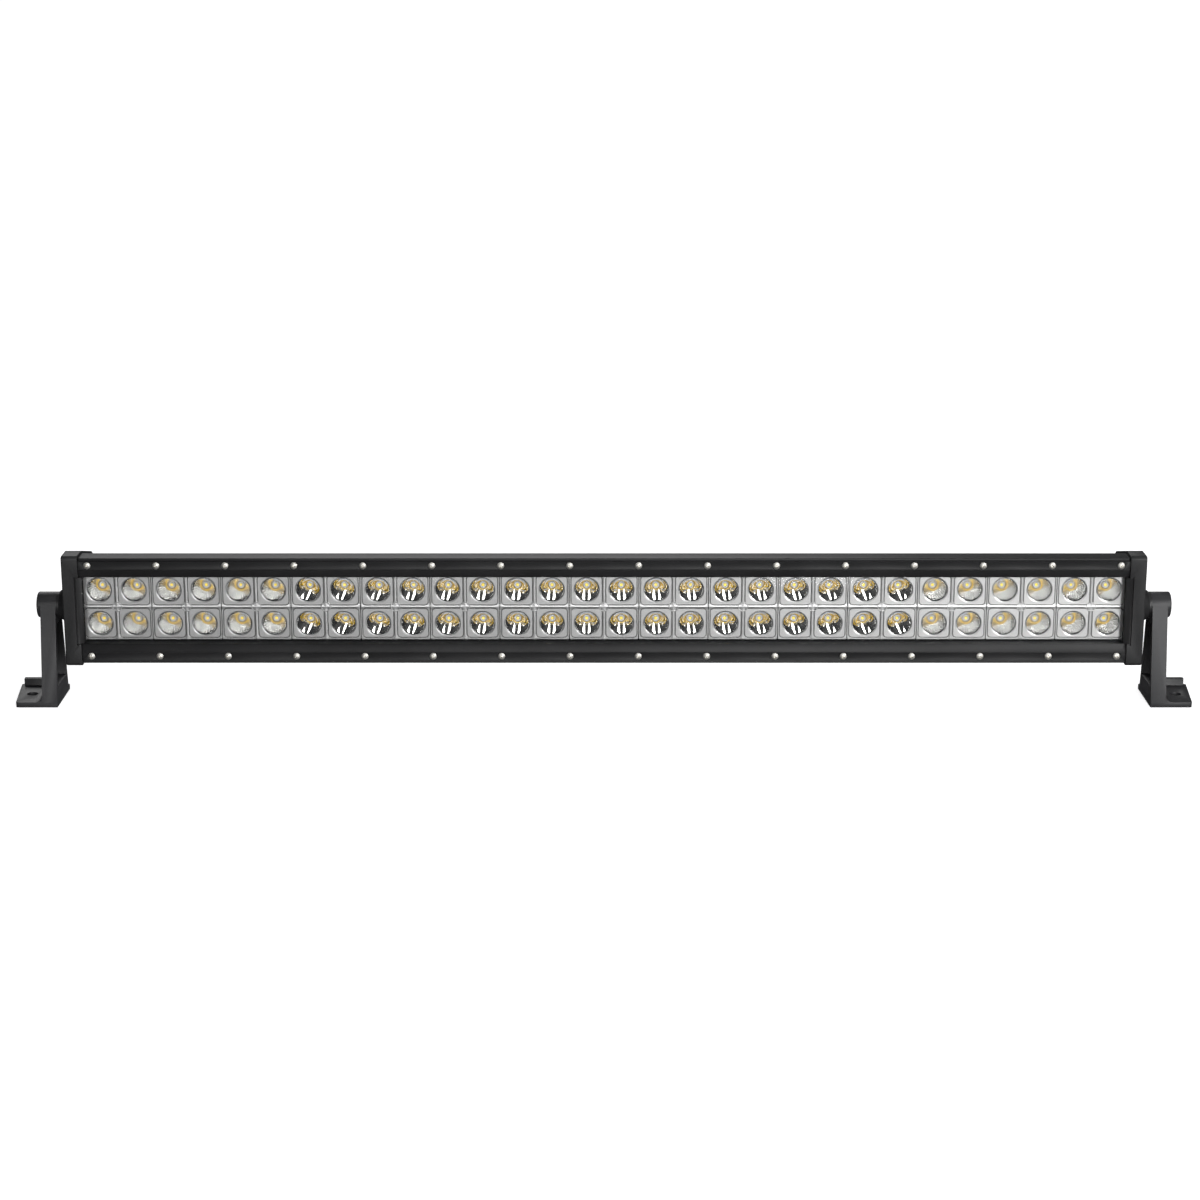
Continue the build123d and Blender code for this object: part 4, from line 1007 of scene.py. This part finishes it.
def cup_row(name, bowl, material, tiles, centre_x, node_names):
    """Bowls of some tiles: two columns for each tile, in two rows."""
    row = run_tree(name, EVEN_GRID, material, Shape=bowl, Material=material, Columns=2 * tiles,
                   Column_Pitch=COLUMN, Rows=2, Row_Pitch=ROW,
                   Centre=(centre_x, TILE_FACE, AXIS_Z), Turn=0.0, Seed=1)
    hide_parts(*node_names)
    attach(row, "light_bar")
    print(row.name, len(row.data.polygons), "faces")
    return row


cup_row("spot_cups", spot_bowl, mirror_plating, SPOT_TILES, 0.0, spot_nodes)
for side, centre_x, nodes in FLOOD_ENDS:
    cup_row(f"flood_cups_{side}", flood_bowl, fluted_plating, FLOOD_PER_END, centre_x, nodes)
for shape in (spot_bowl, flood_bowl):
    bpy.data.objects.remove(shape)


# %% [markdown]
# ## Emitters
#
# Each emitter is a pale body with a raised ring, a yellow patch of phosphor over the dies, and a
# clear silicone dome. All three are lathed once and laid out by the grid tree, sixty of each.

# %% Emitter rows
EMITTER_BACK = emitter_high.y
EMITTER_THICKNESS = 1.5 * MM
EMITTER_TOP = EMITTER_BACK - EMITTER_THICKNESS
EMITTER_EDGE = 0.3 * MM
DOME = 1.4 * MM
DOME_SEAT = 0.1 * MM
PHOSPHOR = 1.1 * MM
PHOSPHOR_CROWN = 0.2 * MM
BED = 0.15 * MM


def emitter_rows(name, profile, material, segments):
    """One lathed shape on all sixty emitter places."""
    shape = shade(from_bmesh(name + "_shape", lathe(profile, segments), material))
    rows = run_tree(name, EVEN_GRID, material, Shape=shape, Material=material, Columns=2 * TILES,
                    Column_Pitch=COLUMN, Rows=2, Row_Pitch=ROW, Centre=(0, EMITTER_TOP, AXIS_Z),
                    Turn=0.0, Seed=1)
    bpy.data.objects.remove(shape)
    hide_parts("emitters_1", "emitters_2", "emitters_3")
    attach(rows, "light_bar")
    print(rows.name, len(rows.data.polygons), "faces")
    return rows


body_half = EMITTER_BODY / 2
emitter_rows("emitter_bodies", [
    (0, BED), (DOME + DOME_SEAT, BED), (DOME + EMITTER_EDGE, 0), (body_half - EMITTER_EDGE, 0),
    (body_half, EMITTER_EDGE), (body_half, EMITTER_THICKNESS), (0, EMITTER_THICKNESS)],
             emitter_body, 32)
emitter_rows("emitter_phosphor", [
    (0, -PHOSPHOR_CROWN), (PHOSPHOR - BED, -0.8 * PHOSPHOR_CROWN),
    (PHOSPHOR, -0.25 * PHOSPHOR_CROWN), (PHOSPHOR, BED), (0, BED)], phosphor, 24)
dome_arc = arc_points(0, 0, DOME, -82, 0, 8)
emitter_rows("emitter_domes", [(0, -DOME)] + dome_arc + [(DOME, BED), (0, BED)], silicone, 32)


# %% [markdown]
# ## Camera
#
# The camera stands in front and looks about fifteen degrees down, far enough away for the bar's
# long lines to stay nearly parallel.

# %% Camera
CAMERA_DISTANCE = 1.88
CAMERA_HEIGHT = 0.5918
LOOK_DOWN = 15.4
camera_data = bpy.data.cameras.new("camera")
camera_data.lens = 78.3
camera_data.sensor_width = 36.0
camera_data.shift_x = -0.00333
camera_data.shift_y = 0.00367
camera = bpy.data.objects.new("camera", camera_data)
camera.location = (0.0, -CAMERA_DISTANCE, CAMERA_HEIGHT)
camera.rotation_euler = (math.radians(90 - LOOK_DOWN), 0, 0)
scene.collection.objects.link(camera)
scene.camera = camera
scene.view_settings.view_transform = "Standard"
print("camera at", tuple(round(v, 3) for v in camera.location))


# %% [markdown]
# ## Floor and light
#
# The floor is white paper, lit from below like a light table, so it stays white and keeps only a
# faint shadow. It is hidden from reflections, so the mirror cups see a plain dark room. Two tall
# soft boxes stand in front, left and right of the camera, with a dark gap between them: the
# polished cups turn that into their white, black and white streaks. The right box is the brighter
# one, and a small box at the right side helps it, which lifts the coat and the tiles there. One
# large box hangs overhead and another stands behind, so that the fins at the back show too.

# %% Studio
PAPER_GLOW = 0.74
GLOW_NEAR = 0.45
GLOW_FAR = 1.4


def paper(name):
    """White paper on a light table: matt, a faint wander in tone, glowing towards its edges."""
    material, tree, shader = new_material(name, Roughness=0.9, Specular_IOR_Level=0.0)
    place = add_node(tree, "ShaderNodeTexCoord").outputs["Object"]
    tone = add_node(tree, "ShaderNodeTexNoise", {"Vector": place, "Scale": 3.0})
    colour = ramp_between(tree, tone.outputs["Fac"], linear("#f4f4f4"), linear("#f9f9f9"))
    tree.links.new(colour, shader.inputs["Base Color"])
    distance = add_node(tree, "ShaderNodeVectorMath", {0: place}, operation="LENGTH")
    lit = add_node(tree, "ShaderNodeMapRange", {
        "Value": distance.outputs["Value"], "From Min": GLOW_NEAR, "From Max": GLOW_FAR,
        "To Min": PAPER_GLOW, "To Max": 1.0})
    shader.inputs["Emission Color"].default_value = linear("#ffffff")
    tree.links.new(lit.outputs[0], shader.inputs["Emission Strength"])
    return material


FLOOR_HALF = 25.0
shape = bmesh.new()
corners = ((-1, -1), (1, -1), (1, 1), (-1, 1))
shape.faces.new([shape.verts.new((x * FLOOR_HALF, y * FLOOR_HALF, 0)) for x, y in corners])
floor = from_bmesh("floor", shape, paper("paper_white"))
if floor.data.polygons[0].normal.z < 0:
    floor.data.flip_normals()
floor.visible_glossy = False
floor.visible_shadow = False
floor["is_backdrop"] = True


def soft_box(name, place, aim, width, height, radiance):
    """A white rectangular area light of a given brightness, facing a point."""
    data = bpy.data.lights.new(name, "AREA")
    data.shape = "RECTANGLE"
    data.size = width
    data.size_y = height
    data.energy = radiance * math.pi * width * height
    lamp = bpy.data.objects.new(name, data)
    lamp.location = place
    lamp.rotation_euler = (Vector(aim) - Vector(place)).to_track_quat("-Z", "Y").to_euler()
    scene.collection.objects.link(lamp)
    return lamp


FRONT_X, FRONT_Y, FRONT_Z = 0.68, -2.35, 0.58
FRONT_WIDTH, FRONT_HEIGHT = 0.36, 1.14
for name, side, radiance in (("front_left", -1, 7.5), ("front_right", 1, 21.0)):
    soft_box(name, (side * FRONT_X, FRONT_Y, FRONT_Z), (side * FRONT_X, 0, FRONT_Z),
             FRONT_WIDTH, FRONT_HEIGHT, radiance)
soft_box("side_right", (1.30, -1.10, 0.75), (0.35, 0, 0.07), 0.5, 0.8, 10.0)
soft_box("overhead", (0.3, -0.2, 2.4), (0, 0, 0), 2.6, 1.6, 0.8)
soft_box("behind", (-0.5, 2.2, 1.5), (0, 0, 0.07), 2.4, 1.4, 2.2)


def room(name):
    """Dark grey room that is a little brighter on its right side."""
    world = bpy.data.worlds.new(name)
    world.use_nodes = True
    tree = world.node_tree
    way = add_node(tree, "ShaderNodeTexCoord").outputs["Generated"]
    sideways = add_node(tree, "ShaderNodeSeparateXYZ", {0: way}).outputs["X"]
    share = add_node(tree, "ShaderNodeMapRange", {
        "Value": sideways, "From Min": -1.0, "From Max": 1.0}).outputs[0]
    grey = ramp_between(tree, share, (0.025, 0.025, 0.028, 1), (0.12, 0.12, 0.123, 1), 0.2, 0.8)
    tree.links.new(grey, tree.nodes["Background"].inputs["Color"])
    return world


scene.world = room("studio_room")


# %% [markdown]
# ## Sizes
#
# The visual box of the shown pieces is printed.

# %% Print the size and finish
low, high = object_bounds()
print("visual box", [round(v / MM, 2) for v in high - low])
